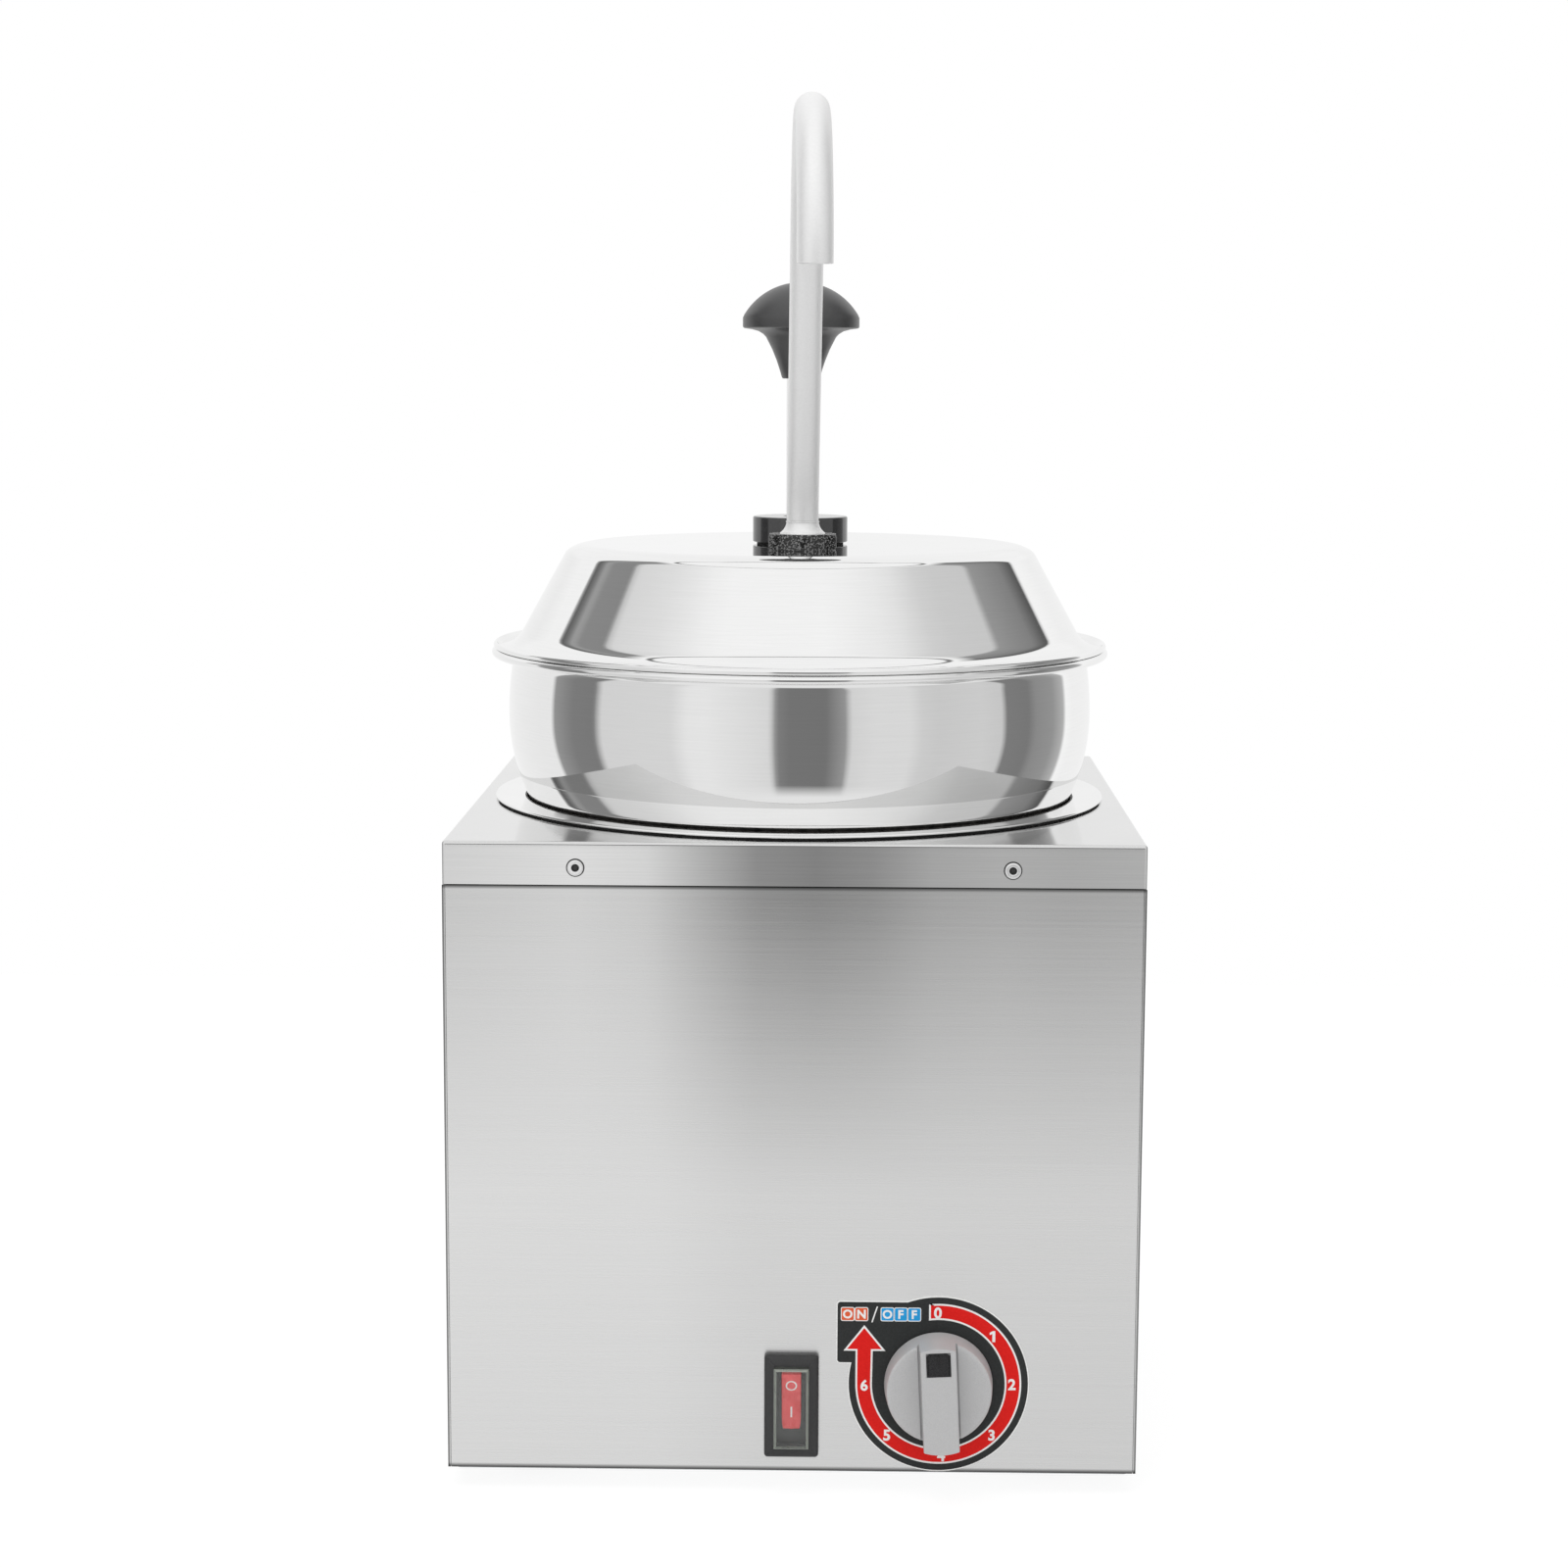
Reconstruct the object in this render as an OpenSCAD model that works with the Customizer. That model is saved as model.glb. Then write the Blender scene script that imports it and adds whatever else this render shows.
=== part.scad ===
// Countertop hot topping warmer: square sheet-steel cabinet with a heated well, a bulged
// inset pot, a coned lid and a plunger pump with a goose-neck spout.
// Origin: middle of the cabinet's footprint, on the counter. Front faces -Y, up is +Z.

/* [Cabinet] */
// Deck left beside the well's rim, at each side
deck_side = 6.2; // [3:0.1:21]
// Deck left before and behind the well's rim
deck_front = 6.2; // [3:0.1:21]
// Height of the cabinet walls below the cover
wall_h = 214.9; // [200:0.5:260]
// Thickness of the cabinet sheet
sheet = 1.0; // [0.7:0.1:1.2]
// Gap left between sheets that lie side by side
sheet_gap = 0.15; // [0.1:0.05:0.2]
// Width of the folded flanges inside the cabinet
flange_w = 12; // [8:1:16]
// Rounding of the folded corners
bend_r = 2.0; // [1.6:0.1:3]
// Height of the stepped lip behind the cover's skirt
lip_h = 11; // [9:1:13]

/* [Top cover] */
// Height of the cover's skirt
skirt_h = 15.5; // [14:0.5:20]
// Dark seam between the skirt and the walls
seam_gap = 0.4; // [0.3:0.1:0.8]
// Distance of the rivets from the cabinet's sides
rivet_side = 47.5; // [30:0.5:75]
// Head radius of the blind rivets
rivet_head_r = 3.3; // [2.6:0.1:4]
// Shank radius of the blind rivets
rivet_r = 1.6; // [1.2:0.1:2]
// Height of a rivet head
rivet_head_h = 0.9; // [0.6:0.1:1.4]
// Radius of the hole through a rivet
rivet_bore_r = 0.9; // [0.5:0.1:1.1]

/* [Base] */
// Clear height from the counter to the walls
foot_h = 8; // [6:0.5:12]
// Thickness of the base plate
base_t = 1.2; // [1:0.1:1.6]
// Set-back of the base plate from the walls
base_inset = 2.6; // [1.5:0.1:4]
// Set-back of the feet from the walls
foot_inset = 30; // [24:1:40]
// Radius of a foot at the counter
foot_r = 9; // [7:0.5:11]
// Extra radius of a foot at the base plate
foot_flare = 2; // [0:0.5:3]
// Radius of a foot screw's shank
foot_screw_r = 2; // [1.5:0.1:2.5]
// Width of the cooling slots
slot_w = 4; // [3:0.5:5]
// Length of the cooling slots
slot_len = 34; // [24:1:44]
// Distance between the cooling slots
slot_pitch = 11; // [9:0.5:13]

/* [Well] */
// Reach of the well's rim beyond the pot's belly
rim_over = 5.4; // [4:0.1:8]
// Height of the rim's top above the deck
rim_rise = 1.6; // [1.4:0.1:2]
// Thickness of the well's sheet
well_t = 1.0; // [0.8:0.1:1.1]
// Rounding of the rim where it turns down into the well
lip_r = 3; // [2.5:0.1:3.5]
// Water space between the pot's bottom and the well's floor
water_gap = 8.4; // [5:0.1:14]
// Water space between the pot's side and the well's wall
water_side = 8.3; // [7:0.1:12]
// Rounding at the bottom of the well
well_corner_r = 12; // [8:0.5:16]
// Thickness of the insulation round the well
jacket_t = 7.5; // [5:0.5:9]

/* [Pot] */
// Largest radius of the pot's belly
belly_r = 113.4; // [105:0.1:120]
// Reach of the pot's rim beyond its belly
pot_rim_over = 6.5; // [5:0.1:8]
// Slope of the line through the pot's shoulder and the well's lip where they meet
rest_a = 38.6; // [30:0.1:50]
// Depth of the belly's widest line below the rim
belly_drop = 25.4; // [23:0.1:27]
// Radius of the belly's curve below its widest line
belly_low_r = 75; // [68:1:82]
// Radius of the belly's curve above its widest line
belly_high_r = 132; // [110:1:150]
// Depth of the shoulder's upper end below the widest line
shoulder_drop = 30.6; // [29:0.1:32]
// Radius of the shoulder that rests on the well
shoulder_r = 9; // [8:0.1:10]
// Depth of the pot from its rim
pot_depth = 184; // [180:0.5:186]
// Rounding at the bottom of the pot
pot_corner_r = 14; // [10:0.5:18]
// Thickness of the pot's sheet
pot_t = 1.0; // [0.8:0.1:1.2]
// Thickness of the pot's hemmed rim
pot_hem = 3.1; // [2.6:0.1:3.6]
// Fillet under the pot's rim
pot_fillet_r = 5; // [4:0.1:5.4]

/* [Lid] */
// Set-in of the lid's rim from the pot's rim
lid_set_in = 0.7; // [0.3:0.1:2]
// Height of the lid's top above the pot's rim
lid_rise = 40.1; // [36:0.1:44]
// Flat ledge between the foot of the lid's cone and its hem
lid_ledge = 1.2; // [0.4:0.1:3]
// Radius of the gentle turn at the edge of the lid's top
lid_soft_r = 16; // [12:0.5:20]
// Radius of the tight turn above the lid's cone
lid_tight_r = 5; // [4:0.1:7]
// Angle of the lid's cone from the vertical
lid_cone_a = 29; // [27:0.5:31]
// Fillet at the foot of the lid's cone
lid_foot_r = 10; // [8:0.5:10.5]
// Thickness of the lid's sheet
lid_t = 1.0; // [0.8:0.1:1.2]
// Thickness of the lid's hemmed rim
lid_hem = 2.4; // [2:0.1:2.8]

/* [Pump] */
// Turn of the pump on the lid
pump_turn = 2; // [0:0.5:6]
// Distance from the plunger to the spout's nut
nut_reach = 42; // [41:0.5:46]
// Wall of the pump's collar round the barrel
collar_wall = 3.4; // [2.5:0.1:4.5]
// Height of the collar
collar_h = 10.6; // [9.5:0.1:12]
// Bore radius of the pump barrel
barrel_bore_r = 13.5; // [12.5:0.1:13.5]
// Wall of the pump barrel
barrel_wall = 1.5; // [1.2:0.1:1.8]
// Length of the barrel below the lid
barrel_len = 139; // [130:1:146]
// Radius of the intake neck below the barrel
neck_r = 11.5; // [10:0.1:12]
// Wall of the intake neck
neck_wall = 1.5; // [1.2:0.1:2]
// Gap between the pump's foot and the pot's bottom
pump_floor_gap = 8; // [6:0.5:10]
// Height of the valve body
valve_h = 32; // [30:0.5:36]
// Radius of the discharge riser
riser_r = 8; // [7.5:0.1:8.5]
// Wall of the discharge riser
riser_wall = 2; // [1.8:0.1:2.5]
// Step from the riser out to its threaded head
riser_step = 2.6; // [2.2:0.1:3]
// Radius of the valve balls
ball_r = 5; // [4.6:0.1:5.2]
// Lift of the valve balls
ball_lift = 3; // [2:0.5:4]

/* [Plunger] */
// Stroke of the plunger
stroke = 48; // [40:1:50]
// Radius of the plunger's rod
rod_r = 5.5; // [5:0.1:5.8]
// Running clearance of the rod and the piston, on the radius
run_gap = 0.08; // [0.05:0.01:0.1]
// Length of the piston
piston_h = 10; // [8:0.5:12]
// Clearance left under the knob when it is pressed home
palm_gap = 5; // [5:0.5:12]
// Depth of the rod's end in the knob
grip_in = 12; // [8:0.5:14]
// Radius of the palm knob
knob_r = 22.5; // [20:0.1:24]
// Height of the palm knob
knob_h = 36.8; // [33:0.1:40]
// Wire radius of the return spring
wire_r = 1.0; // [0.8:0.1:1.2]
// Distance from the barrel's bore to the middle of the spring's wire
coil_side = 2.5; // [2:0.1:4]
// Number of coils of the return spring
coils = 10; // [7:1:11]

/* [Spout] */
// Turn of the spout, seen from above
spout_turn = 1.5; // [0:0.5:6]
// Radius of the spout tube
tube_r = 6; // [5.5:0.1:6.5]
// Wall of the spout tube
tube_wall = 1; // [0.8:0.1:1.2]
// Lean of the spout's riser, forwards
lean_a = 25; // [20:0.5:30]
// Radius of the bend at the foot of the spout
foot_bend_r = 30; // [24:1:36]
// Radius of the goose neck's bend
neck_bend_r = 52; // [46:1:56]
// Height of the goose neck's top above the lid
spout_rise = 162.3; // [150:0.1:172]
// Straight length at the outlet
outlet_len = 3.5; // [2:0.5:12]
// Wall of the union nut round the riser's head
nut_wall = 2.25; // [1.7:0.05:2.8]
// Height of the union nut
nut_h = 5.8; // [5.4:0.1:7]
// Ledge of the spout's flange that the nut holds
flange_ledge = 1.6; // [1.3:0.1:2]
// Height of the spout's flared foot above the nut
flare_h = 5; // [4:0.1:6]

/* [Thermostat dial] */
// Distance of the dial's centre from the cabinet's right side
dial_side = 71.9; // [65:0.1:79]
// Strip of panel left below the dial plate
dial_edge = 0.4; // [0.4:0.1:7]
// Radius of the dial plate
dial_r = 32.8; // [30:0.1:33]
// Thickness of the dial plate
dial_t = 0.5; // [0.4:0.1:0.8]
// Width of the dial plate's tab, from the dial's centre
tab_w = 37; // [34:0.5:40]
// Height of the dial plate's tab above the dial's centre
tab_top = 30.8; // [28:0.1:32]
// Height of the tab
tab_h = 23.4; // [20:0.1:26]
// Radius of the dial knob
dial_knob_r = 19.6; // [18:0.1:21]
// Depth of the dial knob's skirt
skirt_d = 10; // [8:0.5:12]
// Depth of the dial knob with its grip
grip_d = 20; // [17:0.5:23]
// Width of the dial knob's grip
grip_w = 12.8; // [11:0.1:14]
// Width of the grip left beside its black insert
insert_side = 2; // [1.8:0.1:2.4]
// Radius of the thermostat's shaft
shaft_r = 3; // [2.6:0.1:3.4]
// Distance of the thermostat's screws from the knob's edge
stat_screw_in = 5.6; // [5.2:0.1:6.6]

/* [Rocker switch] */
// Width of the switch's bezel beside its cap
bezel_side = 3.5; // [2.7:0.1:4.2]
// Height of the bezel above and below its cap
bezel_end = 4.2; // [3.5:0.1:6]
// Depth of the bezel
bezel_d = 3.5; // [3:0.1:4]
// Height of the switch's middle above the walls' lower edge
switch_z = 25.1; // [24:0.1:30]
// Width of the clear cap
cap_w = 12.7; // [12:0.1:13.2]
// Height of the clear cap
cap_h = 30; // [29:0.1:31]
// Depth of the clear cap in front of the panel
cap_d = 7; // [6.8:0.1:8]
// Wall of the clear cap
cap_t = 0.8; // [0.6:0.1:1]
// Distance from the cap's side to the rocker's
rocker_side = 2.85; // [2.65:0.05:3.2]
// Distance from the cap's end to the rocker's
rocker_end = 3.5; // [3:0.1:4.5]
// Tilt of the rocker each side of level
rocker_a = 9; // [7:0.5:10]
// Height of the rocker's middle above the bezel's middle
rocker_z = 2; // [1.5:0.1:2]

/* [Hidden] */
$fn = 96;
over = 0.5;
fit = 0.1;
seat = 0.3;

// Outer radii that follow the pot's belly, and the cabinet round them
rim_r = belly_r + rim_over;
pot_rim_r = belly_r + pot_rim_over;
lid_rim_r = pot_rim_r - lid_set_in;
body_w = 2*(rim_r + deck_side);
body_d = 2*(rim_r + deck_front);

// Planes of the cabinet
front_y = -body_d/2;
back_y = body_d/2;
wall_top = foot_h + wall_h;
deck_z = wall_top + seam_gap + skirt_h;
deck_under = deck_z - sheet;
lip_set = sheet + fit;
panel_w = body_w - 2*(sheet + sheet_gap);

// Well and pot: the pot's shoulder rests on the well's lip, along a line that slopes at rest_a
rim_z = deck_z + rim_rise;
lip_cz = rim_z - lip_r;
rest_r = shoulder_r + lip_r + seat;
shoulder_a = asin(shoulder_drop/belly_low_r);
shoulder_c = [
    belly_r - belly_low_r + (belly_low_r - shoulder_r)*cos(shoulder_a),
    lip_cz + rest_r*sin(rest_a)
];
belly_z = shoulder_c[1] + (belly_low_r - shoulder_r)*sin(shoulder_a);
low_c = [belly_r - belly_low_r, belly_z];
pot_z = belly_z + belly_drop;
pot_floor_z = pot_z - pot_depth;
lip_cr = shoulder_c[0] + rest_r*cos(rest_a);
well_r = lip_cr - lip_r;
well_out_r = well_r + well_t;
well_floor_z = pot_floor_z - water_gap - well_t;
sump_r = well_r - water_side;
seal_t = rim_rise - well_t;
jacket_drop = 20;

// Lid
lid_z = pot_z;
lid_top = pot_z + lid_rise;
lid_under = lid_top - lid_t;

// Pump: heights are measured from the lid's top
pump_seat_t = 0.8;
collar_foot = lid_top + pump_seat_t;
collar_top = collar_foot + collar_h - pump_seat_t;
collar_roof = 3.4;
collar_ceiling = collar_top - collar_roof;
stop_t = 2;
piston_top = collar_ceiling - stop_t - seat;
piston_foot = piston_top - piston_h;
barrel_r = barrel_bore_r + barrel_wall;
collar_r = barrel_r + collar_wall;
coil_r = barrel_bore_r - coil_side;
barrel_top = collar_ceiling - stop_t;
barrel_foot = lid_top - barrel_len;
flange_t = 3;
shoulder_disc_r = 20;
neck_bore_r = neck_r - neck_wall;
valve_z = pot_floor_z + pot_t + pump_floor_gap;
valve_top = valve_z + valve_h;
valve_r = 16;
valve_out_r = 12;
nut_spot = [nut_reach*sin(pump_turn), -nut_reach*cos(pump_turn)];
knob_z = collar_top + stroke + palm_gap;
spring_foot = barrel_foot + neck_wall + fit;
spring_head = piston_foot - fit;

// Spout: its flange sits on the riser's head, under the nut's lip
riser_proud = 2;
riser_top = lid_top + riser_proud;
riser_bore_r = riser_r - riser_wall;
riser_head_r = riser_r + riser_step;
nut_r = riser_head_r + nut_wall;
flare_r = riser_head_r - flange_ledge;
ring_t = 1.5;
spout_foot_z = riser_top + 2*fit;
nut_top = lid_top + seat + nut_h;
nut_lip = 1.6;
flange_top = nut_top - nut_lip - fit;
flange_disc_r = riser_head_r;
tube_z = nut_top + flare_h;
tube_bore_r = tube_r - tube_wall;
bend_top_z = lid_top + spout_rise - tube_r;
riser_len = (bend_top_z - tube_z - foot_bend_r*sin(lean_a)
    - neck_bend_r*(1 - sin(lean_a)))/cos(lean_a);

// Heater under the well
pan_side = 21.3;
ring_side = 14;
pan_r = well_r - pan_side;
ring_r = pan_r - ring_side;
element_r = 3.3;
element_gap_a = 36;
element_z = well_floor_z - element_r - fit;
leg_len = 22;
pan_t = 1.2;
pan_z = element_z - element_r - fit - pan_t;
pan_rim_h = 5;
stud_r = 3;
bulb_len = 70;
bulb_y = 30;
bulb_x = bulb_len/2;
cap_r = 1;
limit_r = 8.5;
limit_h = 6;
limit_y = -36;

// Controls
stat_w = 34;
stat_h = 40;
stat_d = 24;
stat_plate_t = 1.5;
panel_back = front_y + sheet;
dial_x = body_w/2 - dial_side;
dial_c = [dial_x, foot_h + dial_edge + dial_r];
stat_screw_z = dial_knob_r - stat_screw_in;
insert_w = grip_w - 2*insert_side;
switch_c = foot_h + switch_z;
rocker_c = switch_c + rocker_z;
rocker_y = front_y + fit;
frame_y = front_y - sheet;
body_depth = 20;
bezel_w = cap_w + 2*bezel_side;
bezel_h = cap_h + 2*bezel_end;
rocker_w = cap_w - 2*rocker_side;
rocker_h = cap_h - 2*rocker_end;
block_side = 63;
block_back = 46;
block_x = body_w/2 - block_side;
block_y = back_y - block_back;
bushing_side = 39;
bushing_rise = 34;
bushing_x = body_w/2 - bushing_side;
bushing_z = foot_h + bushing_rise;
bushing_bore_r = 4.2;
bushing_r = 8;
bushing_flange_r = 11;

// Points of an arc, from angle a0 to angle a1
function arc(c, r, a0, a1, n = 10) =
    [for (i = [0:n]) let (a = a0 + (a1 - a0)*i/n) [c[0] + r*cos(a), c[1] + r*sin(a)]];

// A list of points in the other order
function flip(pts) = [for (i = [len(pts) - 1:-1:0]) pts[i]];

// A box given by its lowest and highest corners
module block(lo, hi) {
    translate(lo) cube(hi - lo);
}

// A ring or a tube standing on z0
module tube(r_out, r_in, z0, z1) {
    difference() {
        translate([0, 0, z0]) cylinder(h = z1 - z0, r = r_out);
        translate([0, 0, z0 - over]) cylinder(h = z1 - z0 + 2*over, r = r_in);
    }
}

// A rectangle with round corners
module round_rect(w, d, r) {
    square([w - 2*r, d], center = true);
    square([w, d - 2*r], center = true);
    for (x = [-1, 1], y = [-1, 1])
        translate([x*(w/2 - r), y*(d/2 - r)]) circle(r);
}

// A slot with round ends, along X
module slot(len, w) {
    square([len - w, w], center = true);
    for (x = [-1, 1]) translate([x*(len - w)/2, 0]) circle(w/2, $fn = 32);
}

// Copies at the four corners of a square
module corners(dx, dy) {
    for (x = [-1, 1], y = [-1, 1]) translate([x*dx, y*dy, 0]) children();
}

// Plan of the wrap's outside, drawn in by a distance; open-ended at the front
module wrap_plan(inset, front) {
    w = body_w - 2*inset;
    d = back_y - inset - front;
    r = bend_r - min(inset, bend_r/2);
    translate([-w/2, front]) square([w, d - r]);
    translate([-w/2 + r, front]) square([w - 2*r, d]);
    for (x = [-1, 1]) translate([x*(w/2 - r), back_y - inset - r]) circle(r);
}

// A U of sheet between two insets
module wrap_u(outer, inner, front, z0, z1) {
    translate([0, 0, z0]) linear_extrude(z1 - z0) difference() {
        wrap_plan(outer, front);
        wrap_plan(inner, front - over);
    }
}

// A closed slab whose top edges and upright corners are round
module soft_slab(w, d, h, r) {
    linear_extrude(h - r) round_rect(w, d, r);
    linear_extrude(h) square([w - 2*r, d - 2*r], center = true);
    for (s = [-1, 1]) {
        translate([0, s*(d/2 - r), h - r]) rotate([0, 90, 0])
            cylinder(h = w - 2*r, r = r, center = true, $fn = 32);
        translate([s*(w/2 - r), 0, h - r]) rotate([90, 0, 0])
            cylinder(h = d - 2*r, r = r, center = true, $fn = 32);
    }
    translate([0, 0, h - r]) corners(w/2 - r, d/2 - r) sphere(r, $fn = 32);
}

// Front panel: a tray of sheet between the wrap's sides, with the control cut-outs
module front_panel() {
    x = panel_w/2;
    tab_x = x - flange_w;
    color("silver") difference() {
        union() {
            block([-x, front_y, foot_h], [x, panel_back, wall_top]);
            for (s = [-1, 1])
                translate([s*(x - sheet/2) - sheet/2, front_y, foot_h])
                    cube([sheet, flange_w, wall_h]);
            block([-x, front_y, foot_h], [x, front_y + flange_w, foot_h + sheet]);
            block([-tab_x, front_y, wall_top - sheet],
                [tab_x, front_y + lip_set + sheet, wall_top]);
            block([-tab_x, front_y + lip_set, wall_top - sheet],
                [tab_x, front_y + lip_set + sheet, wall_top + lip_h]);
        }
        translate([dial_c[0], front_y - over, dial_c[1]]) rotate([-90, 0, 0]) {
            cylinder(h = sheet + 2*over, r = shaft_r + 1.5*sheet);
            for (s = [-1, 1]) translate([0, s*stat_screw_z, 0])
                cylinder(h = sheet + 2*over, r = stat_hole_r, $fn = 32);
        }
        block([-cutout_w/2, front_y - over, switch_c - cutout_h/2],
            [cutout_w/2, panel_back + over, switch_c + cutout_h/2]);
        for (s = [-1, 1])
            translate([s*rivet_x, front_y - over, rivet_z]) rotate([-90, 0, 0])
                cylinder(h = lip_set + sheet + 2*over, r = rivet_r + fit, $fn = 32);
    }
}
stat_hole_r = 2.2;
cutout_side = 0.45;
cutout_end = 0.5;
cutout_w = cap_w + 2*cutout_side;
cutout_h = cap_h + 2*cutout_end;
rivet_x = body_w/2 - rivet_side;
rivet_z = wall_top + seam_gap + skirt_h*0.4;

// Body wrap: left side, back and right side folded from one sheet
module body_wrap() {
    tab_front = front_y + flange_w;
    low_front = front_y + flange_w + seat;
    color("silver") difference() {
        union() {
            wrap_u(0, sheet, front_y, foot_h, wall_top);
            wrap_u(0, lip_set + sheet, tab_front, wall_top - sheet, wall_top);
            wrap_u(lip_set, lip_set + sheet, tab_front, wall_top - sheet, wall_top + lip_h);
            wrap_u(0, flange_w, low_front, foot_h, foot_h + sheet);
        }
        for (s = [-1, 1])
            translate([s*rivet_x, back_y + over, rivet_z]) rotate([90, 0, 0])
                cylinder(h = lip_set + sheet + 2*over, r = rivet_r + fit, $fn = 32);
        translate([bushing_x, back_y + over, bushing_z]) rotate([90, 0, 0])
            cylinder(h = sheet + 2*over, r = bushing_r + fit);
        for (i = [-3:3])
            translate([i*slot_pitch, back_y + over, foot_h + wall_h*0.8])
                rotate([90, 90, 0]) linear_extrude(sheet + 2*over) slot(slot_len/2, slot_w);
        corners(base_screw_x, base_screw_y) translate([0, 0, foot_h - over])
            cylinder(h = sheet + 2*over, r = base_screw_r + fit, $fn = 32);
    }
}
base_screw_r = 1.6;
base_screw_x = body_w/2 - flange_w/2;
base_screw_y = body_d/2 - flange_w*2.5;

// Base plate: flat sheet under the flanges, with cooling slots
module base_plate() {
    color("dimgray") difference() {
        translate([0, 0, foot_h - base_t]) linear_extrude(base_t)
            round_rect(body_w - 2*base_inset, body_d - 2*base_inset, bend_r);
        corners(base_screw_x, base_screw_y) translate([0, 0, foot_h - base_t - over])
            cylinder(h = base_t + 2*over, r = base_screw_r + fit, $fn = 32);
        corners(body_w/2 - foot_inset, body_d/2 - foot_inset)
            translate([0, 0, foot_h - base_t - over])
                cylinder(h = base_t + 2*over, r = foot_screw_r + fit, $fn = 32);
        for (i = [-4:4], s = [-1, 1])
            translate([i*slot_pitch, s*slot_len*0.8, foot_h - base_t - over])
                rotate([0, 0, 90]) linear_extrude(base_t + 2*over) slot(slot_len, slot_w);
    }
}

// A pan-head screw standing up from z = 0, head below
module pan_screw(r, len, head_r, head_h) {
    cylinder(h = len, r = r, $fn = 32);
    translate([0, 0, -head_h]) difference() {
        union() {
            translate([0, 0, head_h/2]) cylinder(h = head_h/2, r = head_r, $fn = 32);
            cylinder(h = head_h/2, r1 = head_r*0.7, r2 = head_r, $fn = 32);
        }
        for (a = [0, 90]) rotate([0, 0, a])
            translate([-head_r*0.5, -head_r*0.12, -over])
                cube([head_r, head_r*0.24, over + head_h*0.4]);
    }
}

// Screws that hold the base plate to the wrap's flanges
module base_screws() {
    color("gainsboro") corners(base_screw_x, base_screw_y)
        translate([0, 0, foot_h - base_t])
            pan_screw(base_screw_r, base_t + 4*sheet, 2*base_screw_r, base_screw_r);
}

// Rubber feet with a recess for their screws
module feet() {
    h = foot_h - base_t;
    recess = h*0.55;
    color([0.1, 0.1, 0.1]) corners(body_w/2 - foot_inset, body_d/2 - foot_inset)
        difference() {
            cylinder(h = h, r1 = foot_r, r2 = foot_r + foot_flare);
            translate([0, 0, -over]) cylinder(h = over + recess, r = foot_r*0.55);
            cylinder(h = h + over, r = foot_screw_r + fit, $fn = 32);
        }
}

// Screws and nuts that hold the feet
module foot_screws() {
    h = foot_h - base_t;
    recess = h*0.55;
    head_h = recess*0.6;
    color("gainsboro") corners(body_w/2 - foot_inset, body_d/2 - foot_inset) {
        translate([0, 0, recess])
            pan_screw(foot_screw_r, foot_h - recess + 3*foot_screw_r, foot_r*0.45, head_h);
        translate([0, 0, foot_h]) cylinder(h = 1.6*foot_screw_r, r = 2*foot_screw_r, $fn = 6);
    }
}

// Top cover: a shallow tray turned down over the walls' lips, open for the well
module top_cover() {
    h = skirt_h;
    color("gainsboro") difference() {
        translate([0, 0, deck_z - h]) soft_slab(body_w, body_d, h, bend_r);
        translate([0, 0, deck_z - h - over])
            soft_slab(body_w - 2*sheet, body_d - 2*sheet, h - sheet + over, bend_r - sheet);
        translate([0, 0, deck_z - h - over]) cylinder(h = h + 2*over, r = well_out_r + 1.5*sheet);
        for (s = [-1, 1]) translate([s*rivet_x, 0, rivet_z]) rotate([90, 0, 0])
            cylinder(h = body_d + 2*over, r = rivet_r + fit, center = true, $fn = 32);
    }
}

// Blind rivets, two in front and two behind
module cover_rivets() {
    grip = sheet + lip_set + sheet;
    color("darkgray") for (x = [-1, 1], y = [0, 180]) rotate([0, 0, y])
        translate([x*rivet_x, front_y, rivet_z]) rotate([-90, 0, 0]) difference() {
            union() {
                translate([0, 0, -rivet_head_h])
                    cylinder(h = rivet_head_h, r1 = rivet_head_r*0.7, r2 = rivet_head_r, $fn = 32);
                cylinder(h = grip + rivet_r, r = rivet_r, $fn = 32);
                translate([0, 0, grip]) cylinder(h = rivet_r, r = 1.5*rivet_r, $fn = 32);
            }
            translate([0, 0, -rivet_head_h - over])
                cylinder(h = grip + rivet_r + rivet_head_h + 2*over, r = rivet_bore_r, $fn = 24);
        }
}

// Well: rim, rounded lip, wall and floor drawn from one sheet, with the heater's stud
module well() {
    floor_z = well_floor_z + well_t;
    in_c = [well_r - well_corner_r, floor_z + well_corner_r];
    rim_edge = rim_r - well_t/2;
    wall = concat(
        [[0, floor_z]], arc(in_c, well_corner_r, -90, 0),
        arc([lip_cr, lip_cz], lip_r, 180, 90),
        arc([rim_edge, rim_z - well_t/2], well_t/2, 90, -90, 6),
        flip(arc([lip_cr, lip_cz], lip_r - well_t, 180, 90)),
        flip(arc(in_c, well_corner_r + well_t, -90, 0)),
        [[0, well_floor_z]]
    );
    color("gainsboro") {
        rotate_extrude() polygon(wall);
        translate([0, 0, pan_z - 4*stud_r]) cylinder(h = well_floor_z - pan_z + 4*stud_r + well_t/2,
            r = stud_r);
    }
}

// Silicone seal between the rim and the deck
module well_seal() {
    color([0.12, 0.12, 0.12])
        tube(rim_r - 2*seal_t, well_out_r + 3*sheet, deck_z, deck_z + seal_t);
}

// Clips that hold the well up against the deck
module well_clips() {
    clip_w = 14;
    clip_h = 16;
    clip_t = 1.5;
    reach = 12;
    color("darkgray") for (a = [45:90:315]) rotate([0, 0, a])
        translate([well_out_r + fit, -clip_w/2, deck_under - clip_h]) {
            cube([clip_t, clip_w, clip_h]);
            translate([0, 0, clip_h - clip_t]) cube([reach, clip_w, clip_t]);
        }
}

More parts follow.
